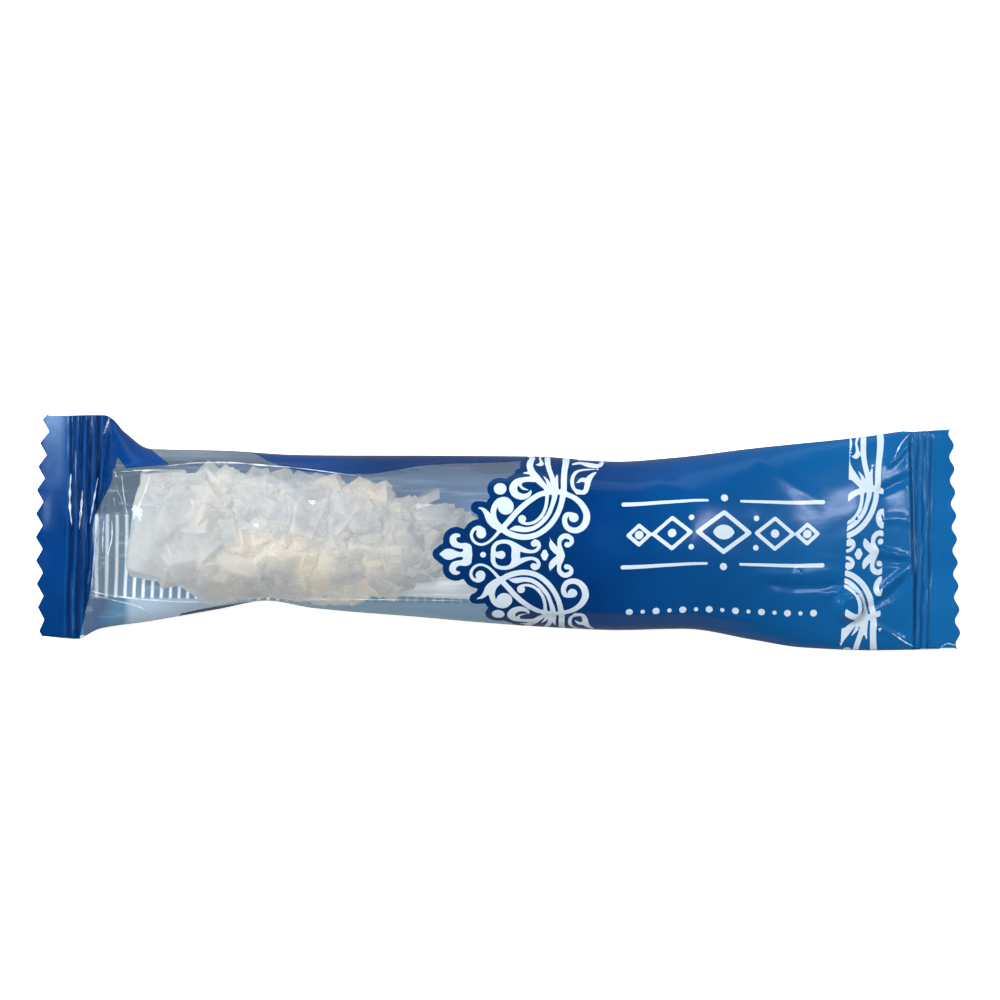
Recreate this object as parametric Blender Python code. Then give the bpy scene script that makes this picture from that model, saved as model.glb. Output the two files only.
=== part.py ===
"""Rock candy stick sealed in a flow-wrap pack, as one closed solid out to the film.

+X runs along the pack from the candy end to the stick end, +Y across it and +Z up.
The pack lies on the fin of its back seam, at z = 0.
"""
import math

import bmesh
import bpy
import numpy as np

MM = 0.001

# Overall sizes
CUT_LEFT = -82.5 * MM
CUT_RIGHT = 82.5 * MM
FLAT_WIDTH = 40.0 * MM
FILM_LOOP = 2 * FLAT_WIDTH

# Crimped end seals: where each one meets the body, and its half thickness
SEAL_LEFT = -72.2 * MM
SEAL_RIGHT = 74.4 * MM
SEAL_HALF = 0.32 * MM
RIB_PITCH = 1.7 * MM
RIB_RELIEF = 0.16 * MM
LEFT_SEAL_HEIGHT = 9.2 * MM
LEFT_SEAL_DROOP = 1.6 * MM
RIGHT_SEAL_HEIGHT = 2.1 * MM

# Toothed cuts: the left one has sharp teeth, the right one a shallow wave
TEETH = 9.5
TOOTH_LEFT = 1.25 * MM
TOOTH_RIGHT = 0.85 * MM
BOW_LEFT = 0.9 * MM
SLANT_LEFT = 2.3 * MM
SLANT_RIGHT = -1.0 * MM

# Back seam: a crimped fin folded flat against the bottom of the pack
FIN_ROOT = 0.56
FIN_EDGE = 0.20
FIN_THICK = 0.42 * MM
FOLD_HALF = 0.24 * MM
SINK = 0.55 * MM

# Outline seen from above, as (x, y) in millimetres
UPPER_EDGE = (
    (-83, 20.0), (-70.5, 20.3), (-66.5, 16.9), (-62, 14.1), (-50, 14.0), (-36, 13.4),
    (-8, 13.7), (6, 13.8), (20, 13.1), (30, 13.9), (45, 15.9), (64, 18.2), (74, 19.7), (83, 20.1),
)
LOWER_EDGE = (
    (-83, -19.6), (-75, -20.0), (-71, -18.0), (-62, -16.5), (-50, -14.2), (-41, -12.5),
    (-33, -13.7), (-16, -14.9), (5, -16.3), (20, -16.8), (33, -16.4), (45, -18.2),
    (54, -19.5), (66, -19.9), (83, -19.6),
)

LANES_PER_TOOTH = 4
FILM_COLOR = (0.03, 0.14, 0.38, 1.0)


def smooth(value):
    """Eases from 0 to 1."""
    value = np.clip(value, 0.0, 1.0)
    return value * value * (3 - 2 * value)


def curve(knots, x):
    """Height at x of a smooth curve through the knots that never overshoots them."""
    px, py = np.array(knots, float).T * MM
    step = np.diff(px)
    rise = np.diff(py) / step
    slope = np.zeros(len(px))
    for i in range(1, len(px) - 1):
        if rise[i - 1] * rise[i] > 0:
            slope[i] = 2 * rise[i - 1] * rise[i] / (rise[i - 1] + rise[i])
    i = int(np.clip(np.searchsorted(px, x) - 1, 0, len(step) - 1))
    t = (x - px[i]) / step[i]
    start = (1 + 2 * t) * (1 - t) ** 2 * py[i] + t * (1 - t) ** 2 * step[i] * slope[i]
    end = t * t * (3 - 2 * t) * py[i + 1] + t * t * (t - 1) * step[i] * slope[i + 1]
    return start + end


def half_height(half_width):
    """Half height of the oval whose loop is as long as the film round the pack."""
    low, high = 0.0, FLAT_WIDTH / 2
    for _ in range(40):
        half = (low + high) / 2
        spread = ((half_width - half) / (half_width + half)) ** 2
        loop = 1 + 3 * spread / (10 + math.sqrt(4 - 3 * spread))
        if math.pi * (half_width + half) * loop < FILM_LOOP:
            low = half
        else:
            high = half
    return max(low, SEAL_HALF)


def stations():
    """Positions along the pack: close together on the ribs, wide apart on the body."""
    left = np.arange(CUT_LEFT + 2.3 * MM, SEAL_LEFT, RIB_PITCH / 2)
    shoulder = np.linspace(SEAL_LEFT + 0.9 * MM, -60 * MM, 9)
    body = np.linspace(-54 * MM, 30 * MM, 12)
    flare = np.linspace(36 * MM, SEAL_RIGHT - 1.2 * MM, 8)
    right = np.arange(SEAL_RIGHT, CUT_RIGHT - 2.6 * MM, RIB_PITCH / 2)
    return np.concatenate([[CUT_LEFT], left, shoulder, body, flare, right, [CUT_RIGHT]])


def lanes():
    """Places across one face of the film, 0 at the -Y edge and 1 at the +Y edge."""
    even = np.linspace(0, 1, int(TEETH * LANES_PER_TOOTH) + 1)
    fold = FOLD_HALF / FLAT_WIDTH
    steps = [FIN_EDGE - fold, FIN_EDGE + fold, FIN_ROOT - fold, FIN_ROOT + fold]
    clear = [p for p in even if min(abs(p - s) for s in steps) > 2.2 * fold]
    return np.array(sorted(clear + steps))


def oval(half_width, height, place):
    """Points of the upper half of an oval at even steps of its own length."""
    angle = np.linspace(0, math.pi, 721)
    y, z = -half_width * np.cos(angle), height * np.sin(angle)
    run = np.concatenate([[0], np.cumsum(np.hypot(np.diff(y), np.diff(z)))])
    at = place * run[-1]
    return np.interp(at, run, y), np.interp(at, run, z)


def rake(x):
    """How far the +Y side of a section is ahead of its middle, on the way to a slanted seal."""
    left = SLANT_LEFT * smooth((-58 * MM - x) / (12 * MM)) * smooth((x - CUT_LEFT) / (9 * MM))
    right = SLANT_RIGHT * smooth((x - 55 * MM) / (24 * MM))
    return left + right


def centre_height(x, height):
    """Height of a section's middle over the table."""
    resting = FIN_THICK + height - SINK
    left = LEFT_SEAL_HEIGHT - LEFT_SEAL_DROOP * smooth((SEAL_LEFT - x) / (SEAL_LEFT - CUT_LEFT))
    lift = smooth((-60 * MM - x) / (10 * MM))
    right = smooth((x - 62 * MM) / (SEAL_RIGHT - 62 * MM))
    return resting * (1 - lift) * (1 - right) + left * lift + RIGHT_SEAL_HEIGHT * right


def section(x, place, raised, rib):
    """Upper and lower points of the pack at one station."""
    ahead = rake(x)
    top, bottom = curve(UPPER_EDGE, x + ahead), curve(LOWER_EDGE, x - ahead)
    half, middle = (top - bottom) / 2, (top + bottom) / 2
    sealed = smooth((SEAL_LEFT + 1.2 * MM - x) / (1.2 * MM))
    sealed = max(float(sealed), float(smooth((x - SEAL_RIGHT + 1.4 * MM) / (1.4 * MM))))
    height = half_height(half) * (1 - sealed) + SEAL_HALF * sealed
    y, z = oval(half, height, place)
    across = y / (FLAT_WIDTH / 2)
    flat = SEAL_HALF * np.minimum(1, (1.001 - np.abs(2 * place - 1)) * 12)
    z = z * (1 - sealed) + flat * sealed
    centre = centre_height(x, height)
    offset = RIB_RELIEF * rib
    xs = x + ahead * across
    if x <= CUT_LEFT or x >= CUT_RIGHT:
        wave = np.abs((place * TEETH + 0.25) % 1.0 - 0.5) * 2
        deep = TOOTH_LEFT if x < 0 else TOOTH_RIGHT
        inward = deep * wave + (BOW_LEFT * across ** 2 if x < 0 else -SLANT_RIGHT * (1 + across))
        if x > 0:
            xs = np.full(len(place), x)
        xs = xs + inward * (1 if x < 0 else -1)
    upper = np.stack([xs, middle + y, centre + z + offset], axis=1)
    floor = np.maximum(centre - z + offset, FIN_THICK)
    lower = np.stack([xs, middle + y, floor], axis=1)
    out = outward(lower[:, 1], lower[:, 2])
    out[floor <= FIN_THICK] = (0, -1)
    thick = FIN_THICK * (1 - sealed) + 0.6 * FIN_THICK * sealed
    lower[:, 1:] += raised[:, None] * thick * out
    return upper, lower


def outward(y, z):
    """Unit normals of the lower face, pointing away from the pack."""
    dy, dz = np.gradient(y), np.gradient(z)
    size = np.maximum(np.hypot(dy, dz), 1e-9)
    return np.stack([dz / size, -dy / size], axis=1)


def pack_mesh():
    """The film's outer skin from cut to cut, closed along both toothed edges."""
    place = lanes()
    fold = 0.5 * FOLD_HALF / FLAT_WIDTH
    raised = ((place > FIN_EDGE + fold) & (place < FIN_ROOT - fold)).astype(float)
    points, rings = [], []
    for n, x in enumerate(stations()):
        in_seal = CUT_LEFT < x < SEAL_LEFT - MM or SEAL_RIGHT + MM < x < CUT_RIGHT
        upper, lower = section(x, place, raised, (-1) ** n if in_seal else 0)
        loop = np.concatenate([upper, lower[-2:0:-1]])
        rings.append(range(len(points), len(points) + len(loop)))
        points.extend(loop.tolist())
    count = len(rings[0])
    faces = []
    for a, b in zip(rings[:-1], rings[1:]):
        for j in range(count):
            k = (j + 1) % count
            faces.append((a[j], b[j], b[k], a[k]))
    for ring, flip in ((rings[0], False), (rings[-1], True)):
        for j in range(len(place) - 1):
            over, under = (j, j + 1), (-(j + 1) % count, -j % count)
            face = [ring[over[0]], ring[over[1]], ring[under[0]], ring[under[1]]]
            face = list(dict.fromkeys(face))
            faces.append(tuple(face[::-1] if flip else face))
    points = np.array(points)
    low, high = points.min(axis=0), points.max(axis=0)
    points -= [(low[0] + high[0]) / 2, (low[1] + high[1]) / 2, low[2]]
    return points.tolist(), faces


def add_object(name, points, faces, color, roughness):
    """A closed triangle mesh with its own material."""
    mesh = bpy.data.meshes.new(name)
    mesh.from_pydata(points, [], faces)
    bm = bmesh.new()
    bm.from_mesh(mesh)
    bmesh.ops.triangulate(bm, faces=bm.faces)
    bmesh.ops.recalc_face_normals(bm, faces=bm.faces)
    bm.to_mesh(mesh)
    bm.free()
    material = bpy.data.materials.new(name)
    material.use_nodes = True
    shader = material.node_tree.nodes["Principled BSDF"]
    shader.inputs["Base Color"].default_value = color
    shader.inputs["Roughness"].default_value = roughness
    mesh.materials.append(material)
    made = bpy.data.objects.new(name, mesh)
    bpy.context.scene.collection.objects.link(made)
    return made


def main():
    for old in list(bpy.data.objects):
        bpy.data.objects.remove(old, do_unlink=True)
    points, faces = pack_mesh()
    add_object("sealed_pack", points, faces, FILM_COLOR, 0.25)


main()
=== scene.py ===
"""Rock candy stick in a flow-wrap pack: printed film, clear window, crystals, stick and stage.

Runs in Blender 4.5 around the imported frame: +X along the pack towards the stick end, +Z up.
"""

import itertools
import math

import bmesh
import bpy
import numpy as np
from bpy.props import FloatProperty, FloatVectorProperty, IntProperty, PointerProperty
from bpy.types import Operator, Panel, PropertyGroup
from mathutils import Matrix, Vector
from mathutils.geometry import delaunay_2d_cdt


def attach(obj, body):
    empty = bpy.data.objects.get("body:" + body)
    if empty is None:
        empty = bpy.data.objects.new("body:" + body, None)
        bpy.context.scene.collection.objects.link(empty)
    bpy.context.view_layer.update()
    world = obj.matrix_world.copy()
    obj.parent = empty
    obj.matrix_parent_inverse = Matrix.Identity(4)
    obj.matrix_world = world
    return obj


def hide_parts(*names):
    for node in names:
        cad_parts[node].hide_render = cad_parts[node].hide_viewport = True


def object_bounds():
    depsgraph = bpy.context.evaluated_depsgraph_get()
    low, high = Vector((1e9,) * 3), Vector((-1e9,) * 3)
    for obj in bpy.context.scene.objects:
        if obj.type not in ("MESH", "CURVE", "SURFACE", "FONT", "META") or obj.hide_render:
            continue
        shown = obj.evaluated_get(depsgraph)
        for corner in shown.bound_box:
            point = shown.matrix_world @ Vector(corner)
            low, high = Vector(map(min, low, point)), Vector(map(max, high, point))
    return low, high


bl_info = {
    "name": "Wrapped rock candy stick",
    "version": (1, 0, 0),
    "blender": (4, 5, 0),
    "location": "View3D > Sidebar > Rock Candy",
    "description": "Builds a rock candy stick sealed in a printed flow-wrap pack",
    "category": "Object",
}

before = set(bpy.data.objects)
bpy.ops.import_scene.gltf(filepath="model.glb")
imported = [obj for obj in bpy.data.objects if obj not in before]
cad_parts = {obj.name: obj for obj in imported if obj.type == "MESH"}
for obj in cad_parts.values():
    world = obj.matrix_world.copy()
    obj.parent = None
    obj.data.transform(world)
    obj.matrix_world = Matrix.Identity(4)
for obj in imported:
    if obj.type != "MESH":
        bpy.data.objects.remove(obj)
CAD_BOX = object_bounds()
CAD_LOW, CAD_HIGH = (np.array(corner) for corner in CAD_BOX)
MM = 0.001
NODE = "sealed_pack"

# ---------------------------------------------------------------- film shape

CUT_LEFT, CUT_RIGHT = -82.5, 82.5
SEAL_LEFT, SEAL_RIGHT = -72.2, 74.4
SEAL_HALF = 0.14
LEFT_SEAL_HEIGHT, LEFT_SEAL_DROOP, RIGHT_SEAL_HEIGHT = 9.2, 1.6, 2.1
SLANT_LEFT, SLANT_RIGHT = 2.3, -1.0
FIN_THICK, SINK = 0.42, 0.55
TEETH = 9.5
TOOTH_LEFT, TOOTH_RIGHT, BOW_LEFT = 1.25, 0.85, 0.9
QUARTER = 20.0
LOOP = 80.0
SEAM = -42.4
# Arc of the print's mirror line at places along the pack
PRINT_AXIS = ((-12.0, -2.95), (17.0, -1.96), (60.0, -1.76), (70.0, -1.76))
FIN_EDGE = -28.0

UPPER_EDGE = (
    (-83, 20.0), (-70.5, 20.3), (-66.5, 16.9), (-62, 14.1), (-50, 14.0), (-36, 13.4),
    (-8, 13.7), (6, 13.8), (20, 13.1), (30, 13.9), (45, 15.9), (64, 18.2), (74, 19.7), (83, 20.1),
)
LOWER_EDGE = (
    (-83, -19.6), (-75, -20.0), (-71, -18.0), (-62, -16.5), (-50, -14.2), (-41, -12.5),
    (-33, -13.7), (-16, -14.9), (5, -16.3), (20, -16.8), (33, -16.4), (45, -18.2),
    (54, -19.5), (66, -19.9), (83, -19.6),
)


def smooth(value):
    """Eases from 0 to 1."""
    value = np.clip(value, 0.0, 1.0)
    return value * value * (3 - 2 * value)


def curve(knots, x):
    """Height at x of a smooth curve through the knots that never overshoots them."""
    px, py = np.array(knots, float).T
    step = np.diff(px)
    rise = np.diff(py) / step
    slope = np.zeros(len(px))
    for i in range(1, len(px) - 1):
        if rise[i - 1] * rise[i] > 0:
            slope[i] = 2 * rise[i - 1] * rise[i] / (rise[i - 1] + rise[i])
    i = int(np.clip(np.searchsorted(px, x) - 1, 0, len(step) - 1))
    t = (x - px[i]) / step[i]
    start = (1 + 2 * t) * (1 - t) ** 2 * py[i] + t * (1 - t) ** 2 * step[i] * slope[i]
    end = t * t * (3 - 2 * t) * py[i + 1] + t * t * (t - 1) * step[i] * slope[i + 1]
    return start + end


def half_height(half_width):
    """Half height of the oval whose loop is as long as the film round the pack."""
    low, high = 0.0, QUARTER
    for _ in range(40):
        half = (low + high) / 2
        spread = ((half_width - half) / (half_width + half)) ** 2
        loop = 1 + 3 * spread / (10 + math.sqrt(4 - 3 * spread))
        if math.pi * (half_width + half) * loop < LOOP:
            low = half
        else:
            high = half
    return max(low, SEAL_HALF)


def rake(x):
    """How far the +Y side of a section is ahead of its middle, on the way to a slanted seal."""
    left = SLANT_LEFT * smooth((-58 - x) / 12) * smooth((x - CUT_LEFT) / 9)
    return left + SLANT_RIGHT * smooth((x - 55) / 24)


def tube(x):
    """Half width, middle, half height and middle height of the film's oval at one station."""
    ahead = float(rake(x))
    top, bottom = curve(UPPER_EDGE, x + ahead), curve(LOWER_EDGE, x - ahead)
    half, middle = (top - bottom) / 2, (top + bottom) / 2
    sealed = max(
        float(smooth((SEAL_LEFT + 1.2 - x) / 1.2)), float(smooth((x - SEAL_RIGHT + 1.4) / 1.4))
    )
    height = half_height(half) * (1 - sealed) + SEAL_HALF * sealed
    resting = FIN_THICK + height - SINK
    left = LEFT_SEAL_HEIGHT - LEFT_SEAL_DROOP * smooth((SEAL_LEFT - x) / (SEAL_LEFT - CUT_LEFT))
    lift = smooth((-60 - x) / 10)
    right = smooth((x - 62) / (SEAL_RIGHT - 62))
    centre = resting * (1 - lift) * (1 - right) + left * lift + RIGHT_SEAL_HEIGHT * right
    return half, middle, height, float(centre), sealed


def section(x, arcs):
    """Points of the pack's film at one station, for arc lengths from the top's middle."""
    half, middle, height, centre, sealed = tube(x)
    over = np.abs(arcs) <= QUARTER
    place = np.where(over, arcs / 40 + 0.5, np.where(arcs > 0, 60 - arcs, -20 - arcs) / 40)
    angle = np.linspace(0, math.pi, 721)
    y, z = -half * np.cos(angle), height * np.sin(angle)
    run = np.concatenate([[0], np.cumsum(np.hypot(np.diff(y), np.diff(z)))])
    y, z = np.interp(place * run[-1], run, y), np.interp(place * run[-1], run, z)
    flat = SEAL_HALF * np.minimum(1, (1.001 - np.abs(2 * place - 1)) * 12)
    z = z * (1 - sealed) + flat * sealed
    z = np.where(over, centre + z, np.maximum(centre - z, FIN_THICK))
    return np.stack([x + float(rake(x)) * y / QUARTER, middle + y, z], axis=1)


# Folds pressed into the top face: places as (x, y), height and half width.
TOP_FOLDS = (
    (((-71.0, 9.6), (-66.0, 9.9), (-60.5, 10.1), (-57.0, 10.4)), 0.55, 1.0),
    (((-68.6, 17.6), (-63.5, 13.6), (-59.1, 10.7), (-53.4, 11.4), (-42.7, 11.3), (-35.5, 10.6),
      (-24.8, 9.8), (-14.1, 11.4), (0.2, 12.3)), 0.45, 0.9),
    (((-71.6, -11.4), (-65.5, -12.3), (-58.4, -12.8), (-50.0, -12.6)), 0.6, 1.0),
    (((-38.0, -12.2), (-33.4, -12.1), (-17.3, -11.9), (-4.0, -11.9)), 0.5, 0.9),
    (((-68.2, 10.0), (-67.0, 5.8), (-65.6, 1.6), (-66.4, -3.0)), 0.5, 1.1),
    (((-71.2, 8.2), (-71.0, 1.2), (-70.9, -5.9), (-70.9, -11.6)), 0.5, 0.7),
    (((-68.6, 15.0), (-67.6, 10.4)), 0.35, 0.6),
    (((-71.0, -12.4), (-64.5, -13.6), (-59.0, -15.6)), 0.6, 1.2),
    (((-64.5, -13.0), (-68.5, -17.8)), 0.45, 1.2),
    (((-58.6, -13.2), (-61.5, -15.8)), -0.4, 1.0),
    (((-57.4, 13.4), (-47.0, 12.8), (-36.5, 12.0), (-26.0, 12.2)), -0.30, 1.0),
    (((65.5, -1.6), (69.5, -2.6), (73.9, -3.6)), 0.55, 0.8),
    (((66.5, -3.9), (73.4, -4.3)), -0.55, 0.9),
    (((66.0, -10.8), (69.0, -8.2), (73.6, -4.6)), 0.45, 1.0),
    (((64.0, -13.6), (69.4, -10.4), (73.7, -6.4)), -0.40, 1.1),
    (((68.2, 12.6), (70.6, 14.6), (73.9, 18.6)), 0.50, 0.9),
    (((66.0, 7.6), (70.0, 9.6), (73.8, 11.6)), -0.40, 1.3),
    (((66.8, 3.2), (70.4, 3.6), (73.9, 3.0)), 0.30, 1.4),
    (((66.4, -15.2), (70.2, -17.2), (74.0, -18.9)), 0.55, 0.9),
    (((46.0, -8.2), (52.0, -9.0), (58.0, -8.7), (62.6, -7.6)), -0.45, 1.2),
    (((44.0, -6.4), (52.0, -6.7), (61.0, -5.9)), 0.22, 1.5),
    (((52.6, -5.2), (53.2, -8.0)), 0.28, 0.7),
    (((57.0, -10.4), (60.4, -9.6)), 0.25, 0.8),
    (((64.4, -12.2), (67.2, -14.0)), 0.35, 0.9),
    (((12.0, 11.6), (24.0, 10.4), (33.0, 11.2)), -0.22, 1.8),
    (((24.0, 12.2), (30.0, 8.6), (36.0, 6.4)), 0.16, 2.2),
    (((44.0, 14.6), (52.0, 9.0), (58.0, 5.0)), 0.22, 2.4),
    (((18.0, -13.8), (34.0, -13.4), (50.0, -15.6)), 0.30, 1.4),
    (((2.0, -14.6), (14.0, -15.2), (24.0, -15.0)), -0.25, 1.0),
)
# The same for the underside, in (x, y) as seen through the pack
BOTTOM_FOLDS = (
    (((-70.0, 15.0), (-60.0, 10.0), (-44.0, 8.6)), 0.5, 1.4),
    (((-70.0, 4.0), (-58.0, 6.4), (-40.0, 5.2)), -0.35, 1.6),
    (((-30.0, 9.0), (-8.0, 7.6), (14.0, 9.4)), 0.40, 1.6),
    (((20.0, 6.0), (38.0, 9.8), (56.0, 9.0)), -0.40, 1.8),
    (((50.0, 4.0), (62.0, 7.4), (73.5, 12.0)), 0.55, 1.4),
    (((58.0, 14.6), (66.0, 15.0), (73.5, 17.6)), 0.50, 1.2),
    (((60.0, -16.0), (67.0, -15.6), (73.5, -17.0)), 0.50, 1.2),
)
KNOB_PLACE = (62.2, -12.1)


def fold_relief(x, y, folds):
    """Height of the sharp folds over a smooth face."""
    total = np.zeros(x.shape)
    for path, height, width in folds:
        p = np.array(path, float)
        runs = np.hypot(*np.diff(p, axis=0).T)
        start, best = 0.0, np.zeros(x.shape)
        for (ax, ay), (bx, by), run in zip(p, p[1:], runs):
            t = np.clip(((x - ax) * (bx - ax) + (y - ay) * (by - ay)) / run ** 2, 0, 1)
            gap = np.hypot(x - ax - t * (bx - ax), y - ay - t * (by - ay)) / width
            place = (start + t * run) / runs.sum()
            fade = smooth(np.minimum(place, 1 - place) * 4.0 + 0.12)
            np.maximum(best, np.clip(1 - gap, 0, 1) ** 1.5 * fade, out=best)
            start += run
        total += height * best
    return total


def ripples(x, y, seed, height, length):
    """Soft uneven waves of about one length, the same each time."""
    rng = np.random.default_rng(seed)
    total = np.zeros(x.shape)
    for _ in range(14):
        turn, size = rng.uniform(0, math.pi), length * rng.uniform(0.6, 1.6)
        along = x * math.cos(turn) * 0.6 + y * math.sin(turn)
        total += np.sin(along * 2 * math.pi / size + rng.uniform(0, 6.3))
    return height * total / math.sqrt(14)


# Crimp bars of the end seals: place along the pack, height and half width
LEFT_BARS = ((-76.0, 0.50, 0.62), (-74.5, 0.55, 0.50), (-73.2, 0.50, 0.46), (-71.9, 0.40, 0.42))
RIGHT_BARS = ((74.2, 0.34, 0.50), (75.3, 0.46, 0.40), (76.4, 0.32, 0.40), (78.6, 0.12, 0.8),
              (80.4, 0.10, 0.8))


def crimp(x, y):
    """Height that the seal bars add to both faces of an end seal."""
    total = np.zeros(x.shape)
    for k, (place, height, width) in enumerate(LEFT_BARS + RIGHT_BARS):
        bend = 0.14 * np.sin(y * 0.21 + 1.7 * k) + 0.05 * np.sin(y * 0.9 + 2.9 * k)
        strong = 0.85 + 0.30 * np.sin(y * (0.16 + 0.03 * k) + 2.3 * k)
        total += height * strong * np.exp(-((x - place - bend) / width) ** 2)
    at_left = smooth((SEAL_LEFT - 1.5 - x) / 4.0)
    total -= at_left * (0.085 * np.sqrt((y - 2.5) ** 2 + 12.0) - 0.85)
    total += at_left * ripples(x, y, 3, 0.05, 9.0)
    at_right = smooth((x - SEAL_RIGHT - 1.0) / 3.0)
    return total + at_right * (0.22 * np.sin(y * 0.42 + 0.6) + ripples(x, y, 4, 0.06, 5.0))


def relief(x, y, over):
    """How far the folds, ripples and the knob lift the film off its smooth shape."""
    body = smooth((x - SEAL_LEFT - 0.4) / 2.5) * smooth((SEAL_RIGHT - 0.4 - x) / 2.5)
    knob = np.hypot(x - KNOB_PLACE[0], (y - KNOB_PLACE[1]) * 0.95)
    top = fold_relief(x, y, TOP_FOLDS) + 1.5 * smooth((3.2 - knob) / 1.5)
    top += ripples(x, y, 5, 0.085, 15.0) + ripples(x, y, 6, 0.022, 5.0)
    low = fold_relief(x, y, BOTTOM_FOLDS) + ripples(x, y, 7, 0.09, 14.0)
    return body * np.where(over, top, low)


class Film:
    """The film as a table of points over (station, arc), read smoothly in between."""

    def __init__(self, fine=0.18, coarse=0.4):
        self.xs = np.concatenate([
            np.arange(CUT_LEFT - 0.5, -68, fine), np.arange(-68, 72, coarse),
            np.arange(72, CUT_RIGHT + 0.6, fine),
        ])
        self.arcs = np.linspace(-LOOP / 2, LOOP / 2, int(LOOP / coarse) + 1)
        self.points = np.array([section(x, self.arcs) for x in self.xs])
        self.points += self.centring()
        self.finish()
        x, y, z = np.moveaxis(self.points, 2, 0)
        over = np.abs(self.arcs)[None, :] <= QUARTER
        # The side folds keep their outline, and the underside keeps its flat where it rests.
        edge = smooth((QUARTER - np.abs(side(self.arcs)) * QUARTER) / 2.5)[None, :]
        free = np.where(over, 1.0, smooth((z - FIN_THICK - 0.05) / 1.2))
        lift = relief(x, y, over) * edge * free
        self.points += self.normals * lift[..., None]
        sealed = 1 - smooth((x - SEAL_LEFT - 0.2) / 1.6) * smooth((SEAL_RIGHT - 0.2 - x) / 1.6)
        self.points[..., 2] += crimp(x, y) * sealed
        self.points[..., 2] = np.maximum(self.points[..., 2], FIN_THICK)
        self.finish()

    def centring(self):
        """Moves the film so that its cut ends and sides sit in the frame's box."""
        middle = (CAD_LOW + CAD_HIGH) / 2 / MM
        low, high = self.points[..., 1].min(), self.points[..., 1].max()
        return np.array([middle[0], middle[1] - (low + high) / 2, 0.0])

    def read(self, table, x, arc):
        """Bilinear reading of a table at places along and round the film."""
        x = np.clip(x, self.xs[0], self.xs[-1])
        i = np.clip(np.searchsorted(self.xs, x, "right") - 1, 0, len(self.xs) - 2)
        v = ((np.asarray(arc) + LOOP / 2) % LOOP) / (self.arcs[1] - self.arcs[0])
        j = np.minimum(v.astype(int), len(self.arcs) - 2)
        fu = ((x - self.xs[i]) / (self.xs[i + 1] - self.xs[i]))[:, None]
        fv = (v - j)[:, None]
        near = table[i, j] * (1 - fv) + table[i, j + 1] * fv
        far = table[i + 1, j] * (1 - fv) + table[i + 1, j + 1] * fv
        return near * (1 - fu) + far * fu

    def finish(self):
        """Works out the outward normals of the points as they are."""
        along = np.gradient(self.points, axis=0)
        wide = np.concatenate([self.points[:, -2:-1], self.points, self.points[:, 1:2]], axis=1)
        round_ = (wide[:, 2:] - wide[:, :-2]) / 2
        normal = np.cross(along, round_)
        size = np.linalg.norm(normal, axis=2, keepdims=True)
        self.normals = normal / np.maximum(size, 1e-9)

    def at(self, x, arc, lift=0.0):
        """Points and unit normals, in metres, lifted off the film by some millimetres."""
        normal = self.read(self.normals, x, arc)
        normal /= np.maximum(np.linalg.norm(normal, axis=1, keepdims=True), 1e-9)
        point = self.read(self.points, x, arc) + normal * lift
        return point * MM, normal

    def arc_over(self, x, y):
        """Arc of the place on the top face at (x, y), or just past the side fold."""
        i = int(np.argmin(np.abs(self.xs - x)))
        top = np.abs(self.arcs) <= QUARTER
        ys = self.points[i, top, 1]
        if y >= ys.max() - 0.05:
            return QUARTER + 0.6
        if y <= ys.min() + 0.05:
            return -QUARTER - 0.6
        return float(np.interp(y, ys, self.arcs[top]))


def cut_left(arc):
    """Where the left cut runs, for arcs round the film."""
    across = side(arc)
    wave = np.abs(((across + 1) / 2 * TEETH + 0.25) % 1.0 - 0.5) * 2
    return CUT_LEFT + TOOTH_LEFT * wave + BOW_LEFT * across ** 2


def cut_right(arc):
    """Where the right cut runs, for arcs round the film."""
    across = side(arc)
    wave = 0.5 - 0.5 * np.cos(2 * math.pi * ((across + 1) / 2 * TEETH + 0.25))
    return CUT_RIGHT + SLANT_RIGHT - TOOTH_RIGHT * wave


def side(arc):
    """Sideways place from -1 to 1 of an arc on the flattened film."""
    arc = (np.asarray(arc, float) + LOOP / 2) % LOOP - LOOP / 2
    return np.where(np.abs(arc) <= QUARTER, arc, np.sign(arc) * LOOP / 2 - arc) / QUARTER


# ---------------------------------------------------------------- print

ORNAMENT_X = -11.5
STRIP = (61.3, 68.0)
STRIP_SHIFT, STRIP_SLANT = 17.0, 0.04
OUTLINE = 1.1
THINNED = 0.035
# Edges of the clear window on the top face, as (x, y); past a side fold it reaches round it.
WINDOW_TOP = (
    (-74, 30), (-51, 30), (-45, 13.6), (-41.5, 12.3), (-38, 10.9), (-35, 10.4), (-24.8, 10.0),
    (-19, 10.7), (-14.1, 11.6), (-7, 12.2), (0.2, 12.5), (9, 13.0),
)
WINDOW_BOTTOM = (
    (-74, -30), (-57.0, -30), (-56.2, -15.2), (-50.5, -13.9), (-44.6, -13.0), (-43.6, -30), (9, -30),
)
WINDOW_LEFT = (
    (-19.0, -72.0), (-14.9, -71.6), (-11.3, -71.1), (-5.7, -71.3), (-0.6, -72.3), (1.9, -72.2),
    (8.0, -69.8), (13.0, -69.2), (18.5, -68.9),
)
SHOULDER = ((-70.5, 20.0), (-58.5, 11.2), (-66.2, 10.4), (-69.6, 14.8))
LABEL_MIDDLE = (39.3, 3.8)

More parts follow.
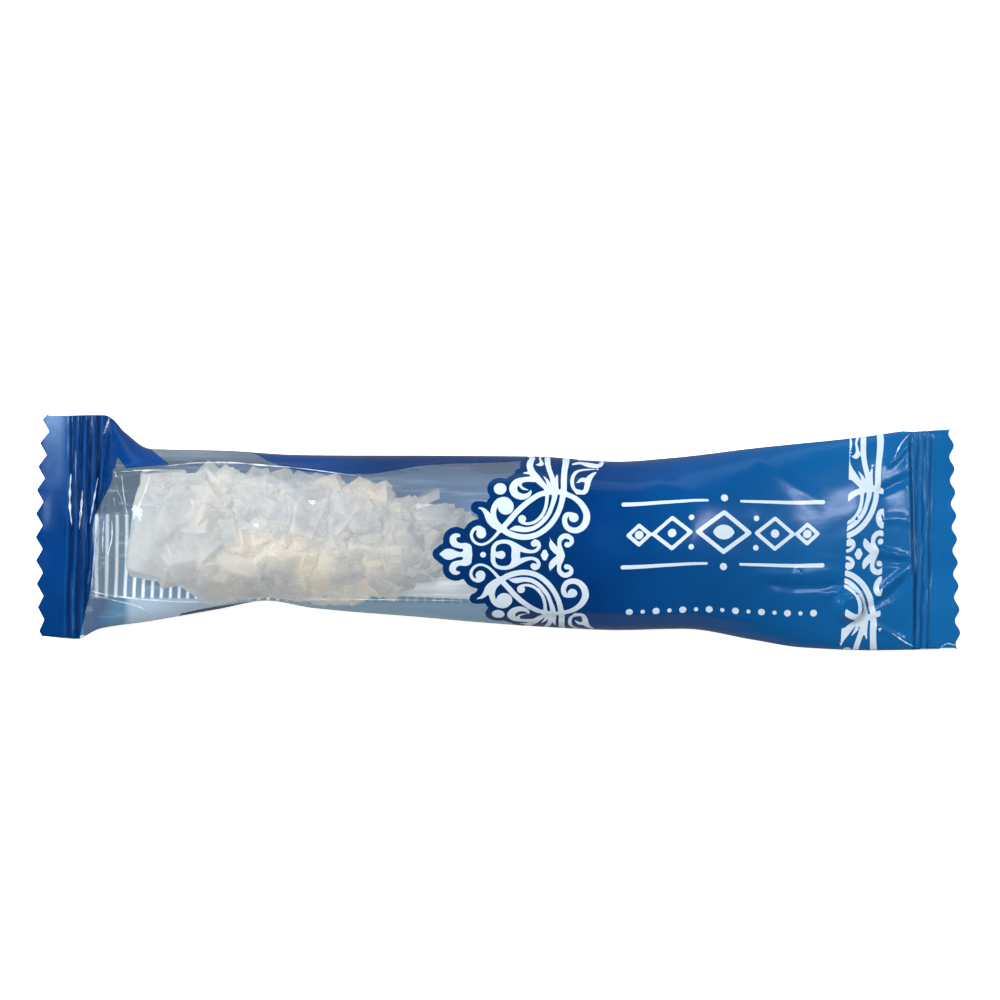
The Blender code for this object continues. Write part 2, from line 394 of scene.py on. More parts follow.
# Each stroke is a chain of (along, across, width); the lower half mirrors the upper one.
STROKES = (
    ((0.8, 0, 0.1), (1.6, 0, 1.1), (2.5, 0, 2.05), (3.6, 0, 1.3), (4.6, 0, 0.9), (5.9, 0, 1.5)),
    ((5.8, 0, 1.7), (5.75, 1.2, 1.55)),
    ((5.4, 1.5, 1.2), (4.3, 1.55, 1.0), (3.4, 1.95, 1.25), (3.2, 2.8, 1.2), (3.7, 3.35, 0.8),
     (4.25, 3.3, 0.6)),
    ((8.5, 0, 1.1), (8.51, 0, 1.1)),
    ((11.5, 4.4, 0.7), (10.3, 3.0, 0.55), (9.2, 2.1, 0.5), (8.0, 1.78, 0.5), (6.9, 2.3, 0.55),
     (6.4, 3.4, 0.6), (6.8, 4.4, 0.65), (7.7, 4.75, 0.75), (8.5, 4.3, 0.8)),
    ((8.1, 3.7, 1.8), (8.11, 3.7, 1.8)),
    ((10.3, 0, 0.9), (10.3, 1.2, 0.85), (10.9, 2.05, 0.75), (12.1, 2.35, 0.75), (13.4, 2.05, 0.9),
     (14.2, 1.1, 1.5), (14.2, 0, 1.6)),
    ((10.2, 0, 0.9), (11.0, 0, 1.1), (11.7, 0, 1.5)),
    ((13.9, 1.7, 1.1), (15.4, 0.95, 0.95), (16.8, 0.6, 0.65), (17.8, 0.8, 0.65), (18.3, 1.5, 0.7),
     (18.1, 2.25, 0.65), (17.5, 2.55, 0.5)),
    ((17.4, 2.0, 1.2), (17.41, 2.0, 1.2)),
    ((19.3, 0, 1.55), (19.3, 0.55, 0.9)),
    ((20.25, 2.8, 0.15), (20.6, 1.7, 1.1), (21.2, 0.95, 1.2), (22.2, 0.1, 1.0)),
    ((22.5, 0, 0.8), (22.1, 0.9, 1.0), (21.85, 1.9, 0.75), (22.0, 2.9, 0.9), (22.85, 3.5, 0.95),
     (23.8, 3.15, 0.9), (24.05, 2.45, 0.7), (23.7, 1.85, 0.5)),
    ((23.2, 1.95, 1.05), (23.21, 1.95, 1.05)),
    ((7.4, 8.35, 0.15), (8.3, 8.05, 0.6), (9.0, 7.3, 1.0), (9.7, 6.1, 1.45), (10.7, 5.1, 1.3),
     (11.6, 4.6, 1.0)),
    ((11.4, 4.9, 1.0), (10.5, 5.9, 1.15), (10.15, 7.2, 1.1), (10.4, 8.6, 1.05), (11.2, 9.6, 1.1),
     (12.3, 9.7, 1.3), (13.1, 9.0, 1.2)),
    ((12.35, 8.5, 2.85), (12.36, 8.5, 2.85)),
    ((11.3, 11.9, 2.3), (11.31, 11.9, 2.3)),
    ((17.4, 13.9, 1.3), (15.7, 13.8, 1.1), (14.3, 13.3, 1.3), (13.6, 12.1, 1.45), (14.0, 10.95, 1.4),
     (15.2, 10.4, 1.2), (16.3, 10.8, 0.85), (16.75, 11.6, 0.3)),
    ((15.0, 13.3, 0.5), (14.85, 12.6, 0.5), (15.3, 12.0, 0.5), (16.3, 11.7, 0.2)),
    ((11.4, 4.3, 1.0), (12.2, 5.15, 1.0), (13.1, 6.15, 1.05), (14.0, 7.25, 1.05), (15.3, 8.6, 1.05),
     (16.8, 9.85, 1.05), (18.3, 10.85, 1.05), (20.0, 11.35, 1.0), (21.6, 11.45, 1.0),
     (23.2, 11.0, 1.0), (24.6, 10.3, 1.05), (25.8, 9.1, 1.15), (26.55, 7.5, 1.25), (26.4, 6.0, 1.25),
     (25.6, 4.9, 1.15), (24.4, 4.5, 1.05), (23.2, 4.95, 1.0), (22.7, 6.1, 0.95), (23.0, 7.2, 0.9),
     (23.9, 7.5, 0.6)),
    ((24.3, 6.8, 1.75), (24.31, 6.8, 1.75)),
    ((11.5, 4.7, 1.1), (13.0, 3.75, 1.1), (14.6, 3.25, 1.05), (16.0, 3.15, 1.05), (17.5, 3.45, 1.0),
     (18.7, 4.05, 1.0), (19.9, 5.05, 1.0), (20.8, 6.2, 1.0), (21.5, 7.5, 1.0), (22.0, 8.9, 1.0),
     (22.3, 10.4, 1.05), (22.5, 12.0, 1.1), (22.5, 14.0, 1.1), (22.6, 16.0, 1.1), (22.8, 18.0, 1.2),
     (22.9, 20.0, 1.3)),
    ((13.1, 4.5, 0.2), (14.3, 4.65, 1.05), (15.7, 4.45, 0.95), (17.1, 4.65, 0.85), (18.35, 5.4, 0.8),
     (19.35, 6.45, 0.8), (20.05, 7.6, 0.8), (20.5, 8.9, 0.8), (20.85, 10.2, 0.95), (20.9, 11.4, 1.1),
     (20.65, 12.5, 1.0), (20.5, 14.0, 0.95), (19.95, 16.0, 0.95), (19.65, 18.0, 1.0),
     (19.6, 20.0, 1.1)),
    ((15.25, 6.35, 1.45), (15.26, 6.35, 1.45)),
    ((14.85, 6.1, 0.7), (15.3, 5.65, 0.55), (16.4, 5.5, 0.55), (17.6, 5.9, 0.6), (18.6, 6.85, 0.65),
     (19.2, 8.0, 0.65), (19.5, 9.3, 0.65), (19.6, 10.6, 0.7), (19.8, 11.5, 0.8)),
    ((20.2, 11.9, 0.7), (19.6, 13.5, 0.6), (18.8, 14.7, 0.12)),
    ((21.2, 12.0, 0.8), (21.2, 14.0, 0.6), (21.5, 15.6, 0.1)),
    ((20.0, 11.6, 0.9), (18.8, 12.8, 1.1), (17.7, 14.1, 1.4), (16.9, 15.4, 1.3), (16.5, 16.9, 1.2),
     (16.6, 18.4, 1.2), (17.0, 20.0, 1.0)),
    ((16.8, 15.3, 1.0), (15.0, 15.2, 0.15)),
    ((17.6, 17.5, 0.3), (18.4, 17.6, 1.0), (18.5, 18.6, 0.6), (18.2, 20.0, 0.4)),
    ((25.6, 11.55, 0.9), (24.4, 12.1, 0.7), (23.95, 13.5, 0.7), (24.2, 15.1, 0.7), (25.0, 16.3, 0.65),
     (26.4, 17.0, 0.5), (28.4, 17.3, 0.2)),
    ((24.9, 11.5, 0.8), (26.2, 11.7, 0.9), (26.6, 13.0, 1.0), (26.9, 14.5, 1.1), (27.7, 15.9, 0.7),
     (28.4, 16.7, 0.12)),
    ((26.6, 14.1, 1.1), (25.7, 14.2, 0.9), (24.9, 13.5, 0.25)),
    ((24.1, 18.2, 0.5), (25.4, 19.0, 1.1), (27.2, 18.5, 1.7), (28.6, 18.4, 1.2), (29.4, 20.0, 0.6)),
)


def chain(points, steps=7):
    """Short tapered pieces along a smooth line through the points."""
    p = np.array(points, float)
    if len(p) > 2:
        ends = np.vstack([2 * p[0] - p[1], p, 2 * p[-1] - p[-2]])
        t = np.linspace(0, 1, steps, endpoint=False)[:, None]
        runs = []
        for a, b, c, d in zip(ends, ends[1:], ends[2:], ends[3:]):
            bend = 2 * a - 5 * b + 4 * c - d
            runs.append(0.5 * (2 * b + (c - a) * t + bend * t * t + (3 * b - a - 3 * c + d) * t ** 3))
        p = np.vstack(runs + [p[-1:]])
    p[:, 2] = np.maximum(p[:, 2], 0.05) / 2
    return np.hstack([p[:-1], p[1:]])


def stroke_field(pieces, x, y):
    """Distance from each place to the edge of the nearest stroke, negative inside it."""
    best = np.full(len(x), 99.0)
    for ax, ay, ar, bx, by, br in pieces:
        dx, dy = bx - ax, by - ay
        t = np.clip(((x - ax) * dx + (y - ay) * dy) / (dx * dx + dy * dy + 1e-12), 0, 1)
        gap = np.hypot(x - ax - t * dx, y - ay - t * dy) - (ar + (br - ar) * t)
        np.minimum(best, gap, out=best)
    return best


def lozenge(x, y, wide, tall, line):
    """Four strokes round a diamond."""
    corners = [(x - wide, y), (x, y + tall), (x + wide, y), (x, y - tall), (x - wide, y)]
    return [((*a, line), (*b, line)) for a, b in zip(corners, corners[1:])]


def label_strokes():
    """A plain band of diamonds, dots and tapered rules for the middle of the label."""
    x, y = LABEL_MIDDLE
    made = lozenge(x, y, 4.6, 3.5, 0.75) + [((x - 1.9, y, 0.2), (x, y, 2.6), (x + 1.9, y, 0.2))]
    for way in (-1, 1):
        for gap, wide, tall in ((9.2, 3.3, 2.7), (15.0, 1.9, 1.7)):
            made += lozenge(x + way * gap, y, wide, tall, 0.65)
            made.append(((x + way * gap, y, 1.5), (x + way * gap + 0.01, y, 1.5)))
        for up in (-1, 1):
            made.append(((x + way * 5.8, y + up * 2.6, 1.0), (x + way * 5.81, y + up * 2.6, 1.0)))
            edge = y + up * 5.6
            made.append(((x + way * 17.8, edge, 0.75), (x + way * 3.0, edge, 0.45)))
        made.append(((x, y + way * 6.1, 1.3), (x + 0.01, y + way * 6.1, 1.3)))
    low = y - 14.2
    for k in range(-7, 8):
        size = 1.25 if k % 2 else 0.8
        made.append(((x + 2.35 * k, low, size), (x + 2.35 * k + 0.01, low, size)))
    return made


class Print:
    """Where the film is white, blue or clear, as fields over (along, across the print axis)."""

    def __init__(self, film):
        self.film = film
        self.ornament = np.vstack([chain(s) for s in STROKES])
        self.label = np.vstack([chain(s) for s in label_strokes()])
        self.window = []
        for knots in (WINDOW_TOP, WINDOW_BOTTOM):
            arcs = [(x, film.arc_over(x, y)) for x, y in knots]
            fine = np.arange(-74.0, 9.01, 0.25)
            self.window.append((fine, np.array([curve(arcs, x) for x in fine])))

    def scrolls(self, x, across):
        folded = np.abs((across + 20) % 40 - 20)
        return stroke_field(self.ornament, x - ORNAMENT_X, folded)

    def white(self, x, arc):
        """Negative where the white ink is."""
        across = wrap(arc - axis_at(x))
        value = np.full(len(x), 9.0)
        near = (x > -13) & (x < 21.5)
        value[near] = self.scrolls(x[near], across[near]) + THINNED
        near = (x > 20) & (x < 60) & (np.abs(across) < 20)
        value[near] = np.minimum(value[near], stroke_field(self.label, x[near], across[near]))
        near = (x > STRIP[0] - 2) & (x < STRIP[1] + 2)
        upright = x[near] - STRIP_SLANT * across[near]
        copied = self.scrolls(upright - STRIP[0] + STRIP_SHIFT + ORNAMENT_X, across[near])
        inside = np.maximum(STRIP[0] - upright, upright - STRIP[1])
        value[near] = np.maximum(copied, inside)
        return value

    def blue(self, x, arc):
        """Negative where blue ink backs the film."""
        across, arc = wrap(arc - axis_at(x)), wrap(arc)
        value = 9.0 - x * 0
        near = (x > -14) & (x < 22)
        value[near] = self.scrolls(x[near], across[near]) - OUTLINE
        value = np.minimum(value, ORNAMENT_X + 5.0 + 0.75 * np.abs(across) - x)
        top, bottom = (np.interp(x, *edge) for edge in self.window)
        value = np.minimum(value, np.minimum(top - arc, arc - bottom) * 0.8)
        left = np.interp(np.clip(arc, -19, 18.5), *np.array(WINDOW_LEFT).T)
        value = np.minimum(value, x - left)
        return np.minimum(value, self.shoulder(x, arc))

    def shoulder(self, x, arc):
        """Negative in the blue corner between the left seal and the top band."""
        value = np.full(len(x), 9.0)
        near = (x > -70) & (x < -57) & (np.abs(arc) < QUARTER)
        px, py, _ = self.film.read(self.film.points, x[near], arc[near]).T
        inside = np.full(len(px), -9.0)
        for (ax, ay), (bx, by) in zip(SHOULDER, SHOULDER[1:] + SHOULDER[:1]):
            cross = (bx - ax) * (py - ay) - (by - ay) * (px - ax)
            inside = np.maximum(inside, cross / math.hypot(bx - ax, by - ay))
        value[near] = inside
        return value


def axis_at(x):
    """Arc of the print's mirror line at x."""
    return np.interp(x, *np.array(PRINT_AXIS).T)


def wrap(arc):
    return (np.asarray(arc, float) + LOOP / 2) % LOOP - LOOP / 2


def contour(field, x_range, arc_range, step):
    """Points and edges of the line where a field is 0, on a grid of that step."""
    xs = np.arange(x_range[0], x_range[1] + step / 2, step)
    ys = np.linspace(*arc_range, int(round((arc_range[1] - arc_range[0]) / step)) + 1)
    gx, gy = np.meshgrid(xs, ys, indexing="ij")
    value = field(gx.ravel(), gy.ravel()).reshape(gx.shape)
    value[value == 0] = 1e-6
    points, edges, made = [], [], {}

    def crossing(a, b):
        key = (a, b)
        if key not in made:
            t = value[a] / (value[a] - value[b])
            made[key] = len(points)
            points.append((gx[a] + (gx[b] - gx[a]) * t, gy[a] + (gy[b] - gy[a]) * t))
        return made[key]

    below = value < 0
    cells = below[:-1, :-1] * 1 + below[1:, :-1] * 2 + below[1:, 1:] * 4 + below[:-1, 1:] * 8
    for i, j in np.argwhere((cells > 0) & (cells < 15)):
        a, b, c, d = (i, j), (i + 1, j), (i + 1, j + 1), (i, j + 1)
        sides = []
        for p, q in ((a, b), (b, c), (d, c), (a, d)):
            sides.append(crossing(p, q) if below[p] != below[q] else None)
        cut = [s for s in sides if s is not None]
        if len(cut) == 2:
            edges.append(tuple(cut))
        else:
            pair = ((0, 3), (1, 2)) if below[a] == (value[[i, i + 1], [j, j + 1]].sum() < 0) else ((0, 1), (2, 3))
            edges += [(sides[m], sides[n]) for m, n in pair]
    points = settle(field, np.array(points))
    points[:, 1] = np.clip(points[:, 1], arc_range[0], arc_range[1])
    return points, edges


def settle(field, points):
    """Moves points onto the zero line of a field."""
    h = 0.02
    value = field(*points.T)
    slope = np.stack([
        field(points[:, 0] + h, points[:, 1]) - value, field(points[:, 0], points[:, 1] + h) - value
    ], axis=1) / h
    size = (slope ** 2).sum(axis=1)
    step = -(value / np.maximum(size, 0.3))[:, None] * slope
    length = np.linalg.norm(step, axis=1, keepdims=True)
    return points + step * np.minimum(1, 0.02 / np.maximum(length, 1e-9))


# ---------------------------------------------------------------- helpers


def add_mesh(name, points, faces, materials, slots=None, normals=None):
    """Links a mesh that rides on the frame, smooth where normals are given."""
    mesh = bpy.data.meshes.new(name)
    mesh.from_pydata(np.asarray(points).tolist(), [], [tuple(map(int, f)) for f in faces])
    for material in materials:
        mesh.materials.append(material)
    if slots is not None:
        mesh.polygons.foreach_set("material_index", np.asarray(slots, np.int32))
    mesh.update()
    if normals is not None:
        mesh.shade_smooth()
        mesh.normals_split_custom_set_from_vertices(np.asarray(normals).tolist())
    made = bpy.data.objects.new(name, mesh)
    bpy.context.scene.collection.objects.link(made)
    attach(made, "root")
    return made


class Nodes:
    """Short way to add and join shader nodes."""

    def __init__(self, tree):
        self.tree = tree

    def add(self, kind, values=None, **settings):
        node = self.tree.nodes.new("ShaderNode" + kind)
        for key, value in settings.items():
            setattr(node, key, value)
        for key, value in (values or {}).items():
            if isinstance(value, bpy.types.NodeSocket):
                self.tree.links.new(value, node.inputs[key])
            else:
                node.inputs[key].default_value = value
        return node

    def link(self, source, target):
        self.tree.links.new(source, target)


def new_material(name):
    """A material with an empty node tree and its output."""
    material = bpy.data.materials.new(name)
    material.use_nodes = True
    material.node_tree.nodes.clear()
    nodes = Nodes(material.node_tree)
    return material, nodes, nodes.add("OutputMaterial")


# ---------------------------------------------------------------- materials


def node_group(name, inputs, outputs):
    """An empty shader node group with its sockets, its two end nodes and a node helper."""
    tree = bpy.data.node_groups.new(name, "ShaderNodeTree")
    for label, kind, default in inputs:
        socket = tree.interface.new_socket(label, in_out="INPUT", socket_type=kind)
        if default is not None:
            socket.default_value = default
    for label, kind in outputs:
        tree.interface.new_socket(label, in_out="OUTPUT", socket_type=kind)
    start, end = tree.nodes.new("NodeGroupInput"), tree.nodes.new("NodeGroupOutput")
    return tree, Nodes(tree), start.outputs, end.inputs


def film_grain():
    """Cloudy ink, fine orange peel and scuffs of printed plastic film, made once."""
    if "film_grain" in bpy.data.node_groups:
        return bpy.data.node_groups["film_grain"]
    tree, n, start, end = node_group(
        "film_grain",
        (("Cloud size", "NodeSocketFloat", 70.0), ("Peel size", "NodeSocketFloat", 420.0),
         ("Scuffs", "NodeSocketFloat", 0.3)),
        (("Cloud", "NodeSocketFloat"), ("Height", "NodeSocketFloat"), ("Wear", "NodeSocketFloat")),
    )
    where = n.add("TexCoord").outputs["Object"]
    cloud = n.add("TexNoise", {"Vector": where, "Scale": start["Cloud size"], "Detail": 4.0})
    peel = n.add("TexNoise", {"Vector": where, "Scale": start["Peel size"], "Detail": 2.0})
    stretched = n.add("Mapping", {"Vector": where, "Scale": (60.0, 900.0, 300.0)})
    lines = n.add("TexNoise", {"Vector": stretched.outputs[0], "Scale": 1.0, "Detail": 3.0})
    scuff = n.add("MapRange", {"Value": lines.outputs["Fac"], "From Min": 0.60, "From Max": 0.74})
    worn = n.add("Math", {0: scuff.outputs[0], 1: start["Scuffs"]}, operation="MULTIPLY")
    height = n.add("Math", {0: worn.outputs[0], 1: -0.25, 2: peel.outputs["Fac"]},
                   operation="MULTIPLY_ADD")
    n.link(cloud.outputs["Fac"], end["Cloud"])
    n.link(height.outputs[0], end["Height"])
    n.link(worn.outputs[0], end["Wear"])
    return tree


def sugar_grain():
    """Milky clouds, warm patches and fine frost inside sugar, made once."""
    if "sugar_grain" in bpy.data.node_groups:
        return bpy.data.node_groups["sugar_grain"]
    tree, n, start, end = node_group(
        "sugar_grain",
        (("Frost size", "NodeSocketFloat", 900.0), ("Warmth", "NodeSocketFloat", 0.5),
         ("Clear", "NodeSocketColor", (0.8, 0.8, 0.8, 1)),
         ("Milky", "NodeSocketColor", (0.8, 0.8, 0.8, 1)),
         ("Warm", "NodeSocketColor", (0.8, 0.8, 0.8, 1))),
        (("Color", "NodeSocketColor"), ("Cloud", "NodeSocketFloat"), ("Height", "NodeSocketFloat")),
    )
    where = n.add("TexCoord").outputs["Object"]
    cloud = n.add("TexNoise", {"Vector": where, "Scale": 240.0, "Detail": 5.0, "Roughness": 0.6})
    clear = n.add("MapRange", {"Value": cloud.outputs["Fac"], "From Min": 0.40, "From Max": 0.58})
    patch = n.add("TexNoise", {"Vector": where, "Scale": 95.0, "Detail": 2.0})
    # The warm sugar sits in the middle of the stick.
    x = n.add("SeparateXYZ", {0: where}).outputs[0]
    left = n.add("MapRange", {"Value": x, "From Min": -0.056, "From Max": -0.044})
    right = n.add("MapRange", {"Value": x, "From Min": -0.010, "From Max": -0.024})
    middle = n.add("Math", {0: left.outputs[0], 1: right.outputs[0]}, operation="MULTIPLY")
    warm = n.add("MapRange", {"Value": patch.outputs["Fac"], "From Min": 0.42, "From Max": 0.60})
    much = n.add("Math", {0: warm.outputs[0], 1: middle.outputs[0]}, operation="MULTIPLY")
    amount = n.add("Math", {0: much.outputs[0], 1: start["Warmth"]}, operation="MULTIPLY")
    base = n.add("Mix", {"Factor": clear.outputs[0], 6: start["Clear"], 7: start["Milky"]},
                 data_type="RGBA")
    tint = n.add("Mix", {"Factor": amount.outputs[0], 6: base.outputs[2], 7: start["Warm"]},
                 data_type="RGBA")
    frost = n.add("TexNoise", {"Vector": where, "Scale": start["Frost size"], "Detail": 3.0})
    steps = n.add("TexVoronoi", {"Vector": where, "Scale": 380.0}, feature="F1")
    height = n.add("Math", {0: steps.outputs["Distance"], 1: 0.6, 2: frost.outputs["Fac"]},
                   operation="MULTIPLY_ADD")
    n.link(tint.outputs[2], end["Color"])
    n.link(clear.outputs[0], end["Cloud"])
    n.link(height.outputs[0], end["Height"])
    return tree


def grown(n, tree, values):
    """Places a node group in a material with its own values."""
    node = n.add("Group", node_tree=tree)
    for key, value in values.items():
        node.inputs[key].default_value = value
    return node.outputs


def blend(n, factor, first, second):
    """A colour between two colours."""
    return n.add("Mix", {"Factor": factor, 6: first, 7: second}, data_type="RGBA").outputs[2]


def blue_ink():
    material, n, out = new_material("blue_ink_film")
    grain = grown(n, film_grain(), {"Cloud size": 62.0, "Peel size": 380.0, "Scuffs": 0.5})
    colours = bpy.context.scene.candy_film
    deep = n.add("MapRange", {"Value": grain["Cloud"], "From Min": 0.36, "From Max": 0.66})
    colour = blend(n, deep.outputs[0], (*colours.blue_deep, 1), (*colours.blue, 1))
    # Painted light: the blue turns lighter towards the stick end, where the lamps on the right fall on it.
    where = n.add("SeparateXYZ", {0: n.add("TexCoord").outputs["Object"]}).outputs
    along = where[0]
    end_ramp = n.add("MapRange", {"Value": along, "From Min": 0.016, "From Max": 0.066})
    colour = blend(n, end_ramp.outputs[0], colour, (*colours.blue_lit_end, 1))
    # Painted shade where the film slopes down from the candy end's seal.
    seal_slope_shade = n.add("MapRange", {"Value": along, "From Min": -0.066, "From Max": -0.0705})
    seal = n.add("MapRange", {"Value": along, "From Min": -0.0772, "From Max": -0.0755})
    seal_slope_shade = n.add("Math", {0: seal_slope_shade.outputs[0], 1: seal.outputs[0]}, operation="MULTIPLY")
    seal_slope_shade_blue = (*(0.92 * c for c in colours.blue_deep), 1)
    colour = blend(n, seal_slope_shade.outputs[0], colour, seal_slope_shade_blue)
    # The blue is darker round the ornament.
    rising = n.add("MapRange", {"Value": along, "From Min": -0.032, "From Max": -0.022})
    falling = n.add("MapRange", {
        "Value": along, "From Min": 0.011, "From Max": 0.019, "To Min": 0.6, "To Max": 0.0,
    })
    thick = n.add("Math", {0: rising.outputs[0], 1: falling.outputs[0]}, operation="MULTIPLY")
    colour = blend(n, thick.outputs[0], colour, (0.0001, 0.024, 0.105, 1))
    # Painted shade on the lower part of the candy end's seal.
    corner = n.add("MapRange", {"Value": where[1], "From Min": -0.007, "From Max": -0.013})
    outer = n.add("MapRange", {"Value": along, "From Min": -0.0745, "From Max": -0.0755})
    corner = n.add("Math", {0: corner.outputs[0], 1: outer.outputs[0]}, operation="MULTIPLY")
    corner = n.add("Math", {0: corner.outputs[0], 1: 0.8}, operation="MULTIPLY")
    colour = blend(n, corner.outputs[0], colour, (0.0001, 0.034, 0.150, 1))
    # Painted highlight: the upper corner of the candy end's seal is painted pale, as a patchy gloss.
    high = n.add("MapRange", {"Value": where[1], "From Min": 0.006, "From Max": 0.017})
    outer = n.add("MapRange", {"Value": along, "From Min": -0.0768, "From Max": -0.0785})
    inner = n.add("MapRange", {"Value": along, "From Min": -0.0822, "From Max": -0.0808})
    painted_gloss = n.add("Math", {0: outer.outputs[0], 1: inner.outputs[0]}, operation="MULTIPLY")
    painted_gloss = n.add("Math", {0: painted_gloss.outputs[0], 1: high.outputs[0]}, operation="MULTIPLY")
    patchy = n.add("MapRange", {
        "Value": grain["Cloud"], "From Min": 0.40, "From Max": 0.60, "To Min": 0.25, "To Max": 0.85,
    })
    painted_gloss = n.add("Math", {0: painted_gloss.outputs[0], 1: patchy.outputs[0]}, operation="MULTIPLY")
    colour = blend(n, painted_gloss.outputs[0], colour, (0.16, 0.30, 0.55, 1))
    # Painted shade between the crimp bars and painted highlights on their crests, across both end seals.
    for start, end, pitch, much in ((-0.0771, -0.0705, 0.00152, 0.85), (0.0736, 0.0772, 0.00118, 0.45)):
        bent = n.add("Math", {0: grain["Cloud"], 1: 0.0012, 2: along}, operation="MULTIPLY_ADD")
        turn = n.add("Math", {0: bent.outputs[0], 1: 2 * math.pi / pitch}, operation="MULTIPLY")
        wave = n.add("Math", {0: turn.outputs[0]}, operation="SINE")
        line = n.add("MapRange", {"Value": wave.outputs[0], "From Min": -0.2, "From Max": 0.7})
        after = n.add("MapRange", {"Value": along, "From Min": start - 0.0003, "From Max": start})
        before = n.add("MapRange", {"Value": along, "From Min": end + 0.0003, "From Max": end})
        kept = n.add("Math", {0: after.outputs[0], 1: before.outputs[0]}, operation="MULTIPLY")
        mask = n.add("Math", {0: line.outputs[0], 1: kept.outputs[0]}, operation="MULTIPLY")
        mask = n.add("Math", {0: mask.outputs[0], 1: much}, operation="MULTIPLY")
        colour = blend(n, mask.outputs[0], colour, (0.0001, 0.014, 0.072, 1))
        crest_highlight = n.add("MapRange", {"Value": wave.outputs[0], "From Min": -0.6, "From Max": -1.0})
        crest_highlight = n.add("Math", {0: crest_highlight.outputs[0], 1: kept.outputs[0]}, operation="MULTIPLY")
        crest_highlight = n.add("Math", {0: crest_highlight.outputs[0], 1: 0.35 * much}, operation="MULTIPLY")
        colour = blend(n, crest_highlight.outputs[0], colour, (0.010, 0.115, 0.36, 1))
    rough = n.add("MapRange", {"Value": grain["Cloud"], "To Min": 0.13, "To Max": 0.27})
    worn = n.add("Math", {0: grain["Wear"], 1: 0.12, 2: rough.outputs[0]}, operation="MULTIPLY_ADD")
    bump = n.add("Bump", {"Height": grain["Height"], "Strength": 0.10, "Distance": 0.0003})
    shader = n.add("BsdfPrincipled", {
        "Base Color": colour, "Roughness": worn.outputs[0], "IOR": 1.42,
        "Normal": bump.outputs["Normal"],
    })
    n.link(shader.outputs[0], out.inputs["Surface"])
    return material


def white_ink():
    material, n, out = new_material("white_ink_film")
    grain = grown(n, film_grain(), {"Cloud size": 110.0, "Peel size": 460.0, "Scuffs": 0.35})
    colour = blend(n, grain["Cloud"], (0.62, 0.71, 0.82, 1), (*bpy.context.scene.candy_film.white, 1))
    colour = blend(n, grain["Wear"], colour, (0.55, 0.64, 0.76, 1))
    bump = n.add("Bump", {"Height": grain["Height"], "Strength": 0.10, "Distance": 0.0003})
    shader = n.add("BsdfPrincipled", {
        "Base Color": colour, "Roughness": 0.22, "IOR": 1.46, "Normal": bump.outputs["Normal"],
    })
    n.link(shader.outputs[0], out.inputs["Surface"])
    return material


